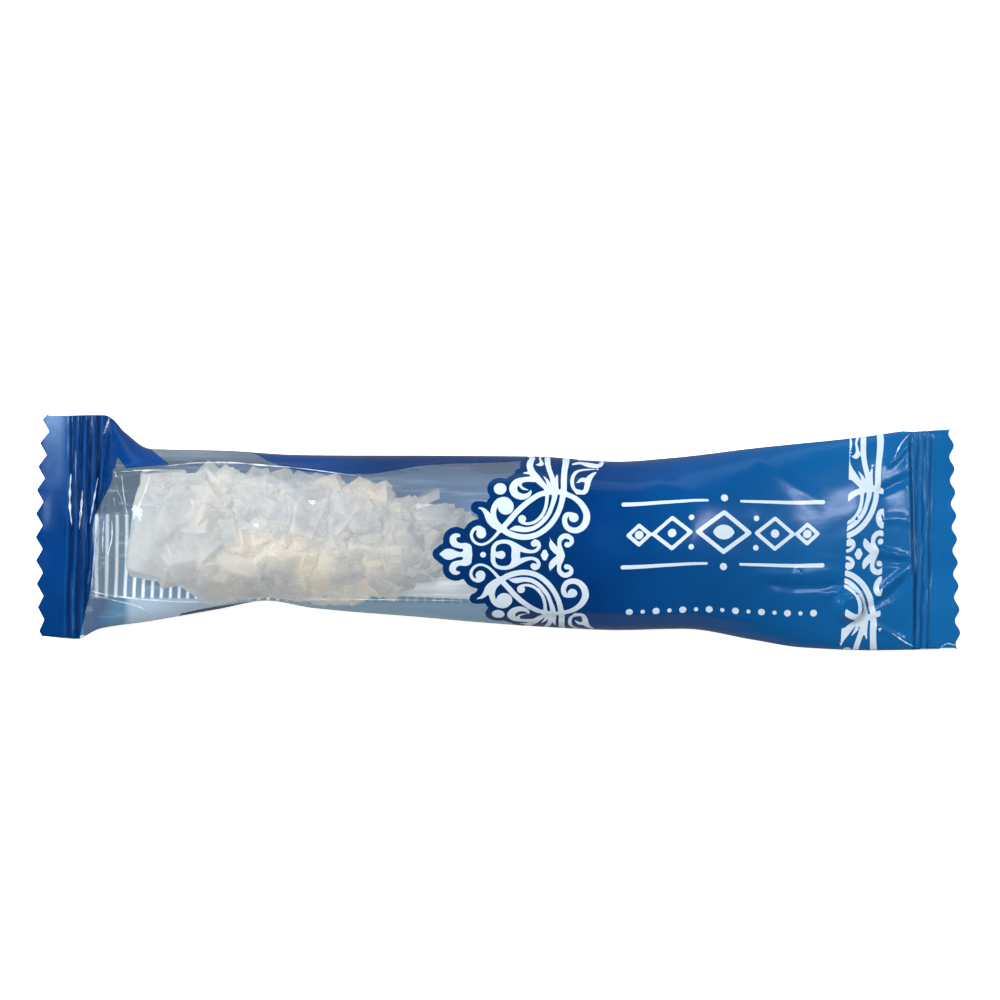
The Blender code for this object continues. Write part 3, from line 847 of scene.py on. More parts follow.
def inner_film():
    """The print's grey-blue back, with painted highlights as pale bars across the pressed seam."""
    material, n, out = new_material("inner_face_film")
    grain = grown(n, film_grain(), {"Cloud size": 45.0, "Peel size": 500.0, "Scuffs": 0.8})
    where = n.add("SeparateXYZ", {0: n.add("TexCoord").outputs["Object"]}).outputs
    slate = blend(n, grain["Cloud"], (0.085, 0.155, 0.29, 1), (0.12, 0.21, 0.37, 1))
    # Painted shade on the upper wall, which faces down into the pack.
    upper_wall_shade = n.add("MapRange", {"Value": where[1], "From Min": 0.0090, "From Max": 0.0120})
    slate = blend(n, upper_wall_shade.outputs[0], slate, (0.06, 0.10, 0.21, 1))
    # Painted light: a paler band along the upper rim at the candy end.
    free = n.add("MapRange", {"Value": where[0], "From Min": -0.040, "From Max": -0.054})
    rim = n.add("MapRange", {"Value": where[1], "From Min": 0.0118, "From Max": 0.0128})
    rim_light = n.add("Math", {0: rim.outputs[0], 1: free.outputs[0]}, operation="MULTIPLY")
    slate = blend(n, rim_light.outputs[0], slate, (0.26, 0.34, 0.43, 1))
    above = n.add("MapRange", {"Value": where[1], "From Min": -0.0128, "From Max": -0.0124})
    # Below the lower fold, painted light: a pale patch towards the candy end; painted shade where the film tucks
    # into the seal.
    under = n.add("MapRange", {"Value": where[1], "From Min": -0.0121, "From Max": -0.0129})
    creased = n.add("Math", {0: grain["Cloud"], 1: 0.004, 2: where[0]}, operation="MULTIPLY_ADD")
    folded = n.add("MapRange", {"Value": creased.outputs[0], "From Min": -0.0650, "From Max": -0.0635})
    flap = blend(n, folded.outputs[0], (0.045, 0.155, 0.29, 1), (0.34, 0.43, 0.53, 1))
    flap = blend(n, free.outputs[0], (0.19, 0.31, 0.42, 1), flap)
    tuck_shade = n.add("MapRange", {"Value": where[0], "From Min": -0.0690, "From Max": -0.0710})
    flap = blend(n, tuck_shade.outputs[0], flap, (0.012, 0.085, 0.23, 1))
    slate = blend(n, under.outputs[0], slate, flap)
    below = n.add("MapRange", {"Value": where[1], "From Min": 0.0024, "From Max": 0.0020})
    # Painted shade in the inlet beside the candy end's seal.
    inlet_shade = n.add("MapRange", {"Value": where[0], "From Min": -0.0630, "From Max": -0.0650})
    over = n.add("MapRange", {"Value": where[1], "From Min": 0.0020, "From Max": 0.0026})
    inlet_shade = n.add("Math", {0: inlet_shade.outputs[0], 1: over.outputs[0]}, operation="MULTIPLY")
    slate = blend(n, inlet_shade.outputs[0], slate, (0.050, 0.105, 0.170, 1))
    seam = n.add("Math", {0: above.outputs[0], 1: below.outputs[0]}, operation="MULTIPLY")
    bent = n.add("Math", {0: grain["Cloud"], 1: 0.0016, 2: where[0]}, operation="MULTIPLY_ADD")
    turn = n.add("Math", {0: bent.outputs[0], 1: 2 * math.pi / (FIN_PITCH * MM)},
                 operation="MULTIPLY")
    wave = n.add("Math", {0: turn.outputs[0]}, operation="SINE")
    # Painted highlights: pale bars along the pressed ribs of the seam.
    bar = n.add("MapRange", {"Value": wave.outputs[0], "From Min": 0.15, "From Max": 0.85})
    near = n.add("MapRange", {
        "Value": where[0], "From Min": -0.034, "From Max": -0.028, "To Min": 1.0, "To Max": 0.2,
    })
    shown = n.add("Math", {0: near.outputs[0], 1: seam.outputs[0]}, operation="MULTIPLY")
    bars = n.add("Math", {0: bar.outputs[0], 1: shown.outputs[0]}, operation="MULTIPLY")
    pale = blend(n, bars.outputs[0], blend(n, seam.outputs[0], slate, (0.12, 0.21, 0.30, 1)),
                 (0.86, 0.91, 0.96, 1))
    colour = blend(n, grain["Wear"], pale, (0.30, 0.38, 0.48, 1))
    bump = n.add("Bump", {"Height": grain["Height"], "Strength": 0.15, "Distance": 0.0003})
    # A painted glow lifts the whole inner face, which the print keeps in shade.
    shader = n.add("BsdfPrincipled", {
        "Base Color": colour, "Roughness": 0.35, "IOR": 1.5, "Normal": bump.outputs["Normal"],
        "Emission Color": colour, "Emission Strength": 0.35,
    })
    n.link(shader.outputs[0], out.inputs["Surface"])
    return material


def clear_film():
    material, n, out = new_material("clear_window_film")
    grain = grown(n, film_grain(), {"Cloud size": 55.0, "Peel size": 260.0, "Scuffs": 1.0})
    haze = n.add("MapRange", {"Value": grain["Cloud"], "To Min": 0.05, "To Max": 0.13})
    milky = n.add("Math", {0: grain["Wear"], 1: 0.16, 2: haze.outputs[0]}, operation="MULTIPLY_ADD")
    bump = n.add("Bump", {"Height": grain["Height"], "Strength": 0.18, "Distance": 0.0003})
    veil = n.add("BsdfPrincipled", {
        "Base Color": (0.72, 0.80, 0.90, 1), "Roughness": 0.6, "Specular IOR Level": 0.0,
        "Alpha": milky.outputs[0], "Normal": bump.outputs["Normal"],
    })
    gloss = n.add("BsdfGlossy", {
        "Color": (0.92, 0.97, 1, 1), "Roughness": 0.08, "Normal": bump.outputs["Normal"],
    })
    mirror = n.add("Fresnel", {"IOR": 1.5})
    shiny = n.add("MixShader", {0: mirror.outputs[0], 1: veil.outputs[0], 2: gloss.outputs[0]})
    n.link(shiny.outputs[0], out.inputs["Surface"])
    return material


# ---------------------------------------------------------------- film mesh


WELD = 0.01
# Spacing of the film's mesh by stretch: from, to, along and round
MESH_ZONES = (
    (CUT_LEFT, -70.6, 0.27, 0.75), (-70.6, -56.0, 0.50, 0.60), (-56.0, 42.0, 0.90, 0.75),
    (42.0, 72.8, 0.60, 0.65), (72.8, 77.6, 0.27, 0.75), (77.6, CUT_RIGHT, 0.5, 0.8),
)


def clear_of(points, edges_points, gap):
    """Mask of points that are no nearer than gap to any of edges_points."""
    cell = gap
    taken = {}
    for x, y in edges_points:
        taken.setdefault((int(x // cell), int(y // cell)), []).append((x, y))
    keep = np.ones(len(points), bool)
    for k, (x, y) in enumerate(points):
        i, j = int(x // cell), int(y // cell)
        for a in (i - 1, i, i + 1):
            for b in (j - 1, j, j + 1):
                for px, py in taken.get((a, b), ()):
                    if (px - x) ** 2 + (py - y) ** 2 < gap * gap:
                        keep[k] = False
    return keep


def film_layout(artwork):
    """Triangles over (station, arc) that follow the cuts and every edge of the print."""
    points, edges = [], []

    def add(new_points, new_edges):
        start = sum(len(p) for p in points)
        points.append(np.asarray(new_points, float))
        edges.extend((a + start, b + start) for a, b in new_edges)

    low, high = SEAM, SEAM + LOOP
    arcs = np.linspace(low, high, 321)
    line = [(i, i + 1) for i in range(len(arcs) - 1)]
    add(np.stack([cut_left(arcs), arcs], 1), line)
    add(np.stack([cut_right(arcs), arcs], 1), line)
    for arc in (low, high):
        xs = np.linspace(cut_left(arc), cut_right(arc), 180)
        add(np.stack([xs, np.full(180, arc)], 1), [(i, i + 1) for i in range(179)])
    strip_low, strip_high = STRIP[0] - 1.8, STRIP[1] + 1.8
    for field, span, arcs_span in (
        (artwork.white, (-12.4, 20.9), (low, high)),
        (artwork.white, (strip_low, strip_high), (low, high)),
        (artwork.white, (21.05, 59.5), (-17.0, 13.0)),
        (artwork.blue, (-73.4, 21.8), (low + 0.01, high - 0.01)),
    ):
        add(*contour(field, span, arcs_span, 0.28))
    lines = np.vstack(points)
    grid = []
    for start, end, apart, rows in MESH_ZONES:
        for k, arc in enumerate(np.arange(low + 0.5, high - 0.3, rows)):
            xs = np.arange(start + apart * (0.25 + 0.5 * (k % 2)), end, apart)
            grid.append(np.stack([xs, np.full(len(xs), arc)], 1))
    grid = np.vstack(grid)
    inside = (grid[:, 0] > cut_left(grid[:, 1]) + 0.3) & (grid[:, 0] < cut_right(grid[:, 1]) - 0.3)
    grid = grid[inside]
    grid = grid[clear_of(grid, lines, 0.24)]
    everything = np.vstack([lines, grid])
    _, first, index = np.unique(
        np.round(everything / WELD), axis=0, return_index=True, return_inverse=True
    )
    everything, index = everything[first], index.ravel()
    edges = {(int(index[a]), int(index[b])) for a, b in edges if index[a] != index[b]}
    verts, _, faces, _, _, _ = delaunay_2d_cdt(
        [Vector(p) for p in everything], sorted(edges), [], 0, WELD / 20, False
    )
    verts = np.array([tuple(v) for v in verts])
    faces = np.array([tuple(f) for f in faces])
    middle = verts[faces].mean(axis=1)
    x, arc = middle.T
    inside = (x > cut_left(arc)) & (x < cut_right(arc)) & (arc > low) & (arc < high)
    faces, x, arc = faces[inside], x[inside], arc[inside]
    blue, white = artwork.blue(x, arc) < 0, artwork.white(x, arc) < 0
    kind = np.where(blue, np.where(white, 1, 0), 2)
    a, b, c = (verts[faces[:, k]] for k in range(3))
    turned = (b[:, 0] - a[:, 0]) * (c[:, 1] - a[:, 1]) - (b[:, 1] - a[:, 1]) * (c[:, 0] - a[:, 0]) < 0
    faces[turned] = faces[turned][:, ::-1]
    return verts, faces, kind


def compact(verts, faces):
    """Only the points that the faces use, and the faces renumbered."""
    used, index = np.unique(faces, return_inverse=True)
    return verts[used], index.reshape(faces.shape)


def merge_seam(verts, faces):
    """Joins the two sides of the seam, where the film closes round the pack."""
    key = {}
    index = np.arange(len(verts))
    for k, (x, arc) in enumerate(verts):
        place = (round(float(x), 3), round(float(wrap(arc)), 3))
        index[k] = key.setdefault(place, k)
    return index[faces]


def shell(film, verts, faces, thick):
    """Outer and inner faces of a printed stretch, with rims along its open edges."""
    verts, faces = compact(verts, faces)
    outer, normal = film.at(verts[:, 0], verts[:, 1], 0.0)
    inner, _ = film.at(verts[:, 0], verts[:, 1], -thick)
    count = len(verts)
    edges = np.vstack([faces[:, [0, 1]], faces[:, [1, 2]], faces[:, [2, 0]]])
    known = {(int(a), int(b)) for a, b in edges}
    rims = [(b, a, a + count, b + count) for a, b in known if (b, a) not in known]
    return outer, inner, normal, faces, rims


class PackFilm(Operator):
    """Builds the printed film and the clear window"""

    bl_idname = "rock_candy.film"
    bl_label = "Film"

    def execute(self, context):
        film = shared_film()
        artwork = Print(film)
        verts, faces, kind = film_layout(artwork)
        faces = merge_seam(verts, faces)
        printed = kind < 2
        thick = context.scene.candy_film.thickness / MM
        outer, inner, normal, skin, rims = shell(film, verts, faces[printed], thick)
        count = len(outer)
        back = skin[:, ::-1] + count
        all_faces = [tuple(f) for f in skin] + [tuple(f) for f in back] + rims
        slots = list(kind[printed]) + [2] * len(back) + [0] * len(rims)
        made = add_mesh(
            "printed_film", np.vstack([outer, inner]), all_faces,
            [blue_ink(), white_ink(), inner_film()], slots, np.vstack([normal, -normal]),
        )
        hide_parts(NODE)
        verts_c, faces_c = compact(verts, faces[~printed])
        points, normal = film.at(verts_c[:, 0], verts_c[:, 1], -0.03)
        add_mesh("window_film", points, faces_c, [clear_film()], None, normal)
        return {"FINISHED"}


# Whitened fold lines and painted highlights along folds: places as (x, y) and width at the middle
FOLD_MARKS_AND_HIGHLIGHTS = (
    (((-68.4, 9.8), (-64.0, 10.0), (-59.0, 10.2)), 0.22),
    (((-59.4, 10.8), (-53.4, 11.5), (-47.0, 11.6), (-42.7, 11.3), (-35.5, 10.8), (-24.8, 9.6)), 0.26),
    (((-71.0, -11.4), (-65.5, -12.3), (-58.4, -12.9), (-50.6, -12.9)), 0.30),
    (((-36.0, -12.3), (-33.4, -12.1), (-17.3, -12.0), (-5.0, -12.0)), 0.16),
    (((-68.1, 9.6), (-67.0, 5.8), (-65.7, 2.0)), 0.20),
    (((-71.5, 1.6), (-71.4, -2.4), (-71.1, -6.6), (-70.9, -11.2)), 0.34),
    (((-70.2, 1.4), (-70.0, -1.5), (-69.4, -5.0)), 0.30),
    (((-68.7, 1.2), (-68.3, -2.0), (-68.6, -5.2)), 0.24),
    (((-71.2, -12.0), (-64.0, -13.6), (-60.6, -15.4)), 0.18),
    (((-62.0, 9.6), (-63.4, 5.0), (-65.2, 0.2)), 0.26),
    (((70.4, 14.2), (71.8, 16.8), (73.6, 18.8)), 0.30),
    (((69.4, -16.8), (71.4, -18.2), (73.2, -19.2)), 0.26),
    (((78.0, -19.2), (79.2, -18.6), (80.6, -18.9)), 0.22),
    (((-77.0, 9.4), (-76.9, 6.0), (-76.6, 3.0), (-76.0, 0.2)), 0.42),
    (((-74.9, 6.4), (-74.7, 3.0), (-74.6, -0.6)), 0.36),
    (((-72.5, 8.8), (-72.7, 4.0), (-72.9, 0.4)), 0.30),
    (((-71.9, 19.3), (-72.1, 18.0), (-72.5, 16.4)), 0.42),
)


class CreaseMarks(Operator):
    """Builds the whitened lines and painted highlights where the clear film is sharply folded"""

    bl_idname = "rock_candy.creases"
    bl_label = "Crease marks"

    def execute(self, context):
        film = shared_film()
        points, normals, faces = [], [], []
        for path, width in FOLD_MARKS_AND_HIGHLIGHTS:
            line = chain([(x, y, 1.0) for x, y in path], 10)
            line = np.vstack([line[:, :2], line[-1:, 3:5]])
            way = np.gradient(line, axis=0)
            way /= np.linalg.norm(way, axis=1, keepdims=True)
            place = np.linspace(0, 1, len(line))
            half = width / 2 * np.sin(np.pi * place) ** 0.6 * (0.8 + 0.3 * np.sin(place * 23))
            sides = np.stack([-way[:, 1], way[:, 0]], 1) * half[:, None]
            start = len(points)
            for k in range(len(line)):
                for x, y in (line[k] - sides[k], line[k] + sides[k]):
                    spot = np.array([film.arc_over(x, y)])
                    point, normal = film.at(np.array([x]), spot, 0.035)
                    points.append(point[0])
                    normals.append(normal[0])
            for k in range(start, len(points) - 3, 2):
                faces.append((k, k + 2, k + 3, k + 1))
        add_mesh("crease_marks", points, faces, [whitened_and_highlight_film()], None, normals)
        return {"FINISHED"}


def whitened_and_highlight_film():
    material, n, out = new_material("whitened_and_highlight_film")
    grain = grown(n, film_grain(), {"Cloud size": 500.0, "Peel size": 1500.0, "Scuffs": 1.0})
    cover = n.add("MapRange", {
        "Value": grain["Cloud"], "From Min": 0.35, "From Max": 0.6, "To Min": 0.25, "To Max": 0.8,
    })
    # Pale film with a faint painted glow, for whitened folds and painted highlights.
    shader = n.add("BsdfPrincipled", {
        "Base Color": (0.84, 0.89, 0.94, 1), "Roughness": 0.35, "IOR": 1.5,
        "Alpha": cover.outputs[0], "Emission Color": (0.85, 0.93, 1.0, 1), "Emission Strength": 0.12,
    })
    n.link(shader.outputs[0], out.inputs["Surface"])
    return material


FIN_PITCH = 1.62


class BackSeam(Operator):
    """Builds the crimped fin of the back seam, folded flat under the pack"""

    bl_idname = "rock_candy.seam"
    bl_label = "Back seam"

    def execute(self, context):
        film = shared_film()
        low, high = SEAM + 0.25, FIN_EDGE
        xs = np.arange(CUT_LEFT + 2.2, CUT_RIGHT - 2.0, 0.27)
        arcs = np.linspace(low, high, 13)
        gx, ga = np.meshgrid(xs, arcs, indexing="ij")
        bars = 0.5 + 0.5 * np.sin(gx * 2 * math.pi / FIN_PITCH + 0.25 * np.sin(ga * 0.8))
        point, normal = film.at(gx.ravel(), ga.ravel())
        near, far = FIN_THICK * 0.18, FIN_THICK * (0.58 + 0.36 * bars.ravel())
        edge = np.minimum(ga - low, high - ga).ravel()
        far = near + (far - near) * smooth(edge / 0.5 + 0.25)
        upper, lower = point + normal * near * MM, point + normal * far[:, None] * MM
        count, wide = len(point), len(arcs)
        quads = [
            (i * wide + j, (i + 1) * wide + j, (i + 1) * wide + j + 1, i * wide + j + 1)
            for i in range(len(xs) - 1) for j in range(wide - 1)
        ]
        known = {(q[k], q[(k + 1) % 4]) for q in quads for k in range(4)}
        rims = [(b, a, a + count, b + count) for a, b in known if (b, a) not in known]
        faces = [q for q in quads] + [tuple(c + count for c in q[::-1]) for q in quads]
        made = add_mesh(
            "back_seam", np.vstack([lower, upper]), faces + rims, [blue_ink()], None,
            np.vstack([normal, -normal]),
        )
        made.data.normals_split_custom_set_from_vertices([(0, 0, 0)] * len(made.data.vertices))
        return {"FINISHED"}


_cache = {}


def shared_film():
    """The film's shape, worked out once for every piece that follows it."""
    if "film" not in _cache:
        _cache["film"] = Film()
    return _cache["film"]


# ---------------------------------------------------------------- candy

CANDY_UPPER = (
    (-67.2, -4.0), (-66.2, 1.5), (-64.4, 6.2), (-62.2, 9.0), (-58, 9.7), (-52, 9.7),
    (-44, 9.2), (-36, 8.7), (-28, 8.0), (-24.6, 8.4), (-20, 5.4), (-12, 5.1), (-5, 2.6), (0, 0.0),
)
CANDY_LOWER = (
    (-67.2, -5.0), (-66.2, -7.8), (-63.5, -9.8), (-57, -11.0), (-50, -11.6), (-43, -12.2),
    (-36, -12.8), (-28, -12.0), (-24, -10.8), (-17, -9.4), (-11, -8.0), (-5, -6.6), (0, -5.0),
)
CANDY_DEEP = ((-67, 4.0), (-64, 7.0), (-50, 8.4), (-30, 8.0), (-12, 6.4), (-4, 4.4), (0, 3.0))
CANDY_HEIGHT = ((-67, 9.9), (-50, 10.8), (-20, 10.4), (-10, 9.6), (0, 8.6))


def kept_inside(points):
    """The points drawn in where they would come through the film."""
    for k, (x, y, z) in enumerate(points):
        half, middle, height, centre, _ = tube(min(max(x, -69.0), 70.0))
        reach = math.hypot((y - middle) / (half - 0.5), (z - centre) / (height - 0.6))
        if reach > 1:
            y, z = middle + (y - middle) / reach, centre + (z - centre) / reach
        points[k] = x, y, max(z, FIN_THICK + 0.5)
    return points


def crystal_hull(rng, size, cuts=6):
    """Corner points of one blocky crystal with slanted ends."""
    planes = []
    for axis, reach in zip(((1, 0, 0), (0, 1, 0), (0.2, 0, 0.98)), size):
        planes += [(np.array(axis), reach), (-np.array(axis), reach)]
    for _ in range(cuts):
        way = rng.normal(size=3)
        way /= np.linalg.norm(way)
        planes.append((way, abs(way) @ np.array(size) * rng.uniform(0.60, 0.84)))
    normals, reach = np.array([p[0] for p in planes]), np.array([p[1] for p in planes])
    trio = np.array(list(itertools.combinations(range(len(planes)), 3)))
    sides = normals[trio]
    good = np.abs(np.linalg.det(sides)) > 1e-3
    points = np.linalg.solve(sides[good], reach[trio[good]][..., None])[..., 0]
    inside = (points @ normals.T <= reach + 1e-7).all(axis=1)
    return points[inside]


def envelope(x, angle, inset):
    """A place on the candy's rough outline at x, turned by angle and moved inwards."""
    upper, lower, deep = (curve(k, x) for k in (CANDY_UPPER, CANDY_LOWER, CANDY_DEEP))
    half = max((upper - lower) / 2 - inset, 0.2)
    tall = max(deep - inset, 0.2)
    y = (upper + lower) / 2 + half * math.cos(angle)
    return y, curve(CANDY_HEIGHT, x) + tall * math.sin(angle)


def turned(rng, points, spread=math.pi):
    """The points turned by some random angle, all ways alike."""
    way = Vector(rng.normal(size=3)).normalized()
    return points @ np.array(Matrix.Rotation(rng.uniform(-spread, spread), 3, way)).T


def add_hull(made, points):
    """Adds the convex hull of some points, in millimetres."""
    verts = [made.verts.new(p * MM) for p in kept_inside(points)]
    hull = bmesh.ops.convex_hull(made, input=verts, use_existing_faces=False)
    spare = {v for v in hull["geom_interior"] + hull["geom_unused"]
             if isinstance(v, bmesh.types.BMVert)}
    bmesh.ops.delete(made, geom=[v for v in spare if v.is_valid], context="VERTS")


def fused(name, made, voxel, rounds):
    """One closed rounded skin round overlapping solids."""
    mesh = bpy.data.meshes.new(name)
    made.to_mesh(mesh)
    made.free()
    carrier = bpy.data.objects.new(name, mesh)
    bpy.context.scene.collection.objects.link(carrier)
    remesh = carrier.modifiers.new("fuse", "REMESH")
    remesh.mode = "VOXEL"
    remesh.voxel_size = voxel * MM
    soften = carrier.modifiers.new("soften", "SMOOTH")
    soften.iterations = rounds
    soften.factor = 0.6
    graph = bpy.context.evaluated_depsgraph_get()
    whole = bpy.data.meshes.new_from_object(carrier.evaluated_get(graph))
    bpy.data.objects.remove(carrier, do_unlink=True)
    whole.materials.clear()
    return whole


# Milky lumps under the crystals: from, to, count, smallest and largest half size
LUMPS = (
    (-59.6, -50, 12, 3.8, 5.0),
    (-54, -34, 34, 3.0, 4.4),
    (-36, -16, 34, 2.4, 3.6),
    (-18, -5, 20, 1.6, 2.4),
)
# Sharp crystals: from, to, count, smallest and largest half size, how far they stand out
CRYSTALS = (
    (-63, -50, 34, 0.9, 2.0, 0.3),
    (-52, -34, 110, 1.1, 2.5, 0.8),
    (-38, -18, 150, 1.0, 2.4, 0.9),
    (-24, -4, 200, 0.6, 1.5, 0.8),
    (-50, -3, 620, 0.30, 0.75, 0.5),
)
# Crystals that stand out: place, half sizes and turn about the upright axis
PROUD = (
    ((-24.9, 6.0, 11.5), (2.9, 3.1, 2.6), 0.72),
    ((-60.0, 5.8, 12.0), (3.6, 3.8, 3.2), -0.16),
    ((-63.2, 1.2, 10.5), (1.9, 5.6, 4.0), -0.15),
    ((-12.6, 6.2, 9.8), (2.2, 0.8, 1.6), 0.35),
    ((-31.5, -9.8, 8.0), (4.4, 2.6, 2.6), -0.22),
    ((-28.5, -1.6, 16.2), (4.6, 1.0, 1.2), -0.62),
    ((-20.5, 0.6, 15.0), (4.4, 0.9, 1.2), 0.55),
    ((-33.5, 3.0, 16.6), (2.3, 2.2, 1.4), 0.3),
    ((-41.0, 5.6, 14.6), (3.6, 1.2, 1.6), 0.5),
    ((-55.5, 7.0, 12.4), (3.4, 2.4, 2.4), 0.0),
)


class RockCandy(Operator):
    """Builds the milky sugar lump and the sharp crystals grown on it"""

    bl_idname = "rock_candy.candy"
    bl_label = "Sugar crystals"

    def execute(self, context):
        self.lump(context)
        self.crystals(context)
        return {"FINISHED"}

    def lump(self, context):
        rng = np.random.default_rng(context.scene.candy_sugar.seed)
        made = bmesh.new()
        for start, end, count, small, large in LUMPS:
            for k in range(count):
                x = start + (end - start) * (k + 0.5) / count
                size = rng.uniform(small, large)
                y, z = envelope(x, rng.uniform(0, 2 * math.pi), size * 0.92)
                dims = size * np.array([rng.uniform(0.9, 1.4), 1.0, rng.uniform(0.8, 1.0)])
                add_hull(made, turned(rng, crystal_hull(rng, dims)) + (x, y, z))
        ring = np.linspace(0, 2 * math.pi, 12, endpoint=False)
        for x in np.arange(-62, -3, 2.0):
            places = [(x + step, *envelope(x + step, a, 2.6)) for step in (0, 2.4) for a in ring]
            add_hull(made, np.array(places))
        # The big block at the free end is one crystal with worn corners.
        block = crystal_hull(rng, (6.6, 9.4, 8.0), 9) @ np.array(Matrix.Rotation(0.14, 3, "Z"))
        corner = [(-66.2, -4.4, 8.0), (-66.2, -4.4, 12.6)]
        add_hull(made, np.vstack([block + (-58.0, -0.5, 10.6), corner]))
        mesh = fused("sugar_lump", made, 0.36, 3)
        mesh.materials.append(milky_sugar())
        mesh.shade_smooth()
        ride(bpy.data.objects.new("sugar_lump", mesh))

    def crystals(self, context):
        rng = np.random.default_rng(context.scene.candy_sugar.seed + 1)
        made = bmesh.new()
        for start, end, count, small, large, proud in CRYSTALS:
            for _ in range(count):
                x = rng.uniform(start, end)
                size = small + (large - small) * rng.uniform() ** 1.6
                angle = rng.uniform(0, 2 * math.pi)
                y, z = envelope(x, angle, size * (1 - proud) + 0.5)
                dims = size * np.array([rng.uniform(0.9, 1.9), 1.0, rng.uniform(0.35, 0.8)])
                add_hull(made, turned(rng, crystal_hull(rng, dims, 5)) + (x, y, z))
        for place, dims, turn in PROUD:
            spin = np.array(Matrix.Rotation(turn, 3, "Z"))
            points = turned(rng, crystal_hull(rng, dims, 5), 0.25) @ spin.T
            add_hull(made, points + place)
        mesh = bpy.data.meshes.new("sugar_crystals")
        made.to_mesh(mesh)
        made.free()
        mesh.materials.append(clear_sugar())
        ride(bpy.data.objects.new("sugar_crystals", mesh))


def ride(made):
    """Links a piece and lets it ride on the pack."""
    bpy.context.scene.collection.objects.link(made)
    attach(made, "root")
    return made


def milky_sugar():
    material, n, out = new_material("milky_sugar")
    colours = bpy.context.scene.candy_sugar
    grain = grown(n, sugar_grain(), {
        "Frost size": 700.0, "Warmth": 0.9, "Clear": (0.35, 0.36, 0.36, 1),
        "Milky": (*colours.milky, 1), "Warm": (*colours.warm, 1),
    })
    # The sugar is milkiest in the middle and clears to grey at both ends.
    along = n.add("SeparateXYZ", {0: n.add("TexCoord").outputs["Object"]}).outputs[0]
    end_ramp = n.add("MapRange", {"Value": along, "From Min": -0.030, "From Max": -0.010, "To Max": 0.75})
    colour = blend(n, end_ramp.outputs[0], grain["Color"], (0.235, 0.25, 0.255, 1))
    block = n.add("MapRange", {"Value": along, "From Min": -0.052, "From Max": -0.062, "To Max": 0.35})
    colour = blend(n, block.outputs[0], colour, (0.32, 0.335, 0.34, 1))
    bump = n.add("Bump", {"Height": grain["Height"], "Strength": 0.22, "Distance": 0.0004})
    rough = n.add("MapRange", {"Value": grain["Cloud"], "To Min": 0.24, "To Max": 0.48})
    # A painted glow lifts the sugar and evens out its shading.
    shader = n.add("BsdfPrincipled", {
        "Base Color": colour, "Roughness": rough.outputs[0], "IOR": 1.38,
        "Subsurface Weight": 1.0, "Subsurface Radius": (1.0, 0.98, 0.92), "Subsurface Scale": 0.0018,
        "Emission Color": colour, "Emission Strength": 0.66,
        "Normal": bump.outputs["Normal"],
    })
    n.link(shader.outputs[0], out.inputs["Surface"])
    return material


def clear_sugar():
    material, n, out = new_material("clear_sugar")
    colours = bpy.context.scene.candy_sugar
    grain = grown(n, sugar_grain(), {
        "Frost size": 1300.0, "Warmth": 0.9, "Clear": (0.42, 0.43, 0.43, 1),
        "Milky": (*colours.milky, 1), "Warm": (*colours.warm, 1),
    })
    bump = n.add("Bump", {"Height": grain["Height"], "Strength": 0.14, "Distance": 0.0003})
    edge = n.add("LayerWeight", {"Blend": 0.35})
    body = n.add("MapRange", {"Value": grain["Cloud"], "To Min": 0.36, "To Max": 0.78})
    along = n.add("SeparateXYZ", {0: n.add("TexCoord").outputs["Object"]}).outputs[0]
    end_ramp = n.add("MapRange", {
        "Value": along, "From Min": -0.034, "From Max": -0.012, "To Min": 1.0, "To Max": 0.55,
    })
    body = n.add("Math", {0: body.outputs[0], 1: end_ramp.outputs[0]}, operation="MULTIPLY")
    rim = n.add("Math", {0: edge.outputs["Facing"], 1: 0.45, 2: body.outputs[0]},
                operation="MULTIPLY_ADD", use_clamp=True)
    # A painted glow brightens the crystals.
    shader = n.add("BsdfPrincipled", {
        "Base Color": grain["Color"], "Roughness": 0.12, "IOR": 1.4, "Alpha": rim.outputs[0],
        "Emission Color": grain["Color"], "Emission Strength": 0.68,
        "Normal": bump.outputs["Normal"],
    })
    glint = n.add("BsdfGlossy", {"Color": (1, 1, 1, 1), "Roughness": 0.16})
    mirror = n.add("Fresnel", {"IOR": 1.5})
    final = n.add("MixShader", {0: mirror.outputs[0], 1: shader.outputs[0], 2: glint.outputs[0]})
    n.link(final.outputs[0], out.inputs["Surface"])
    return material


# ---------------------------------------------------------------- stick

STICK_START, STICK_END = (-58.0, -8.2, 9.0), (60.2, -12.0, 3.9)


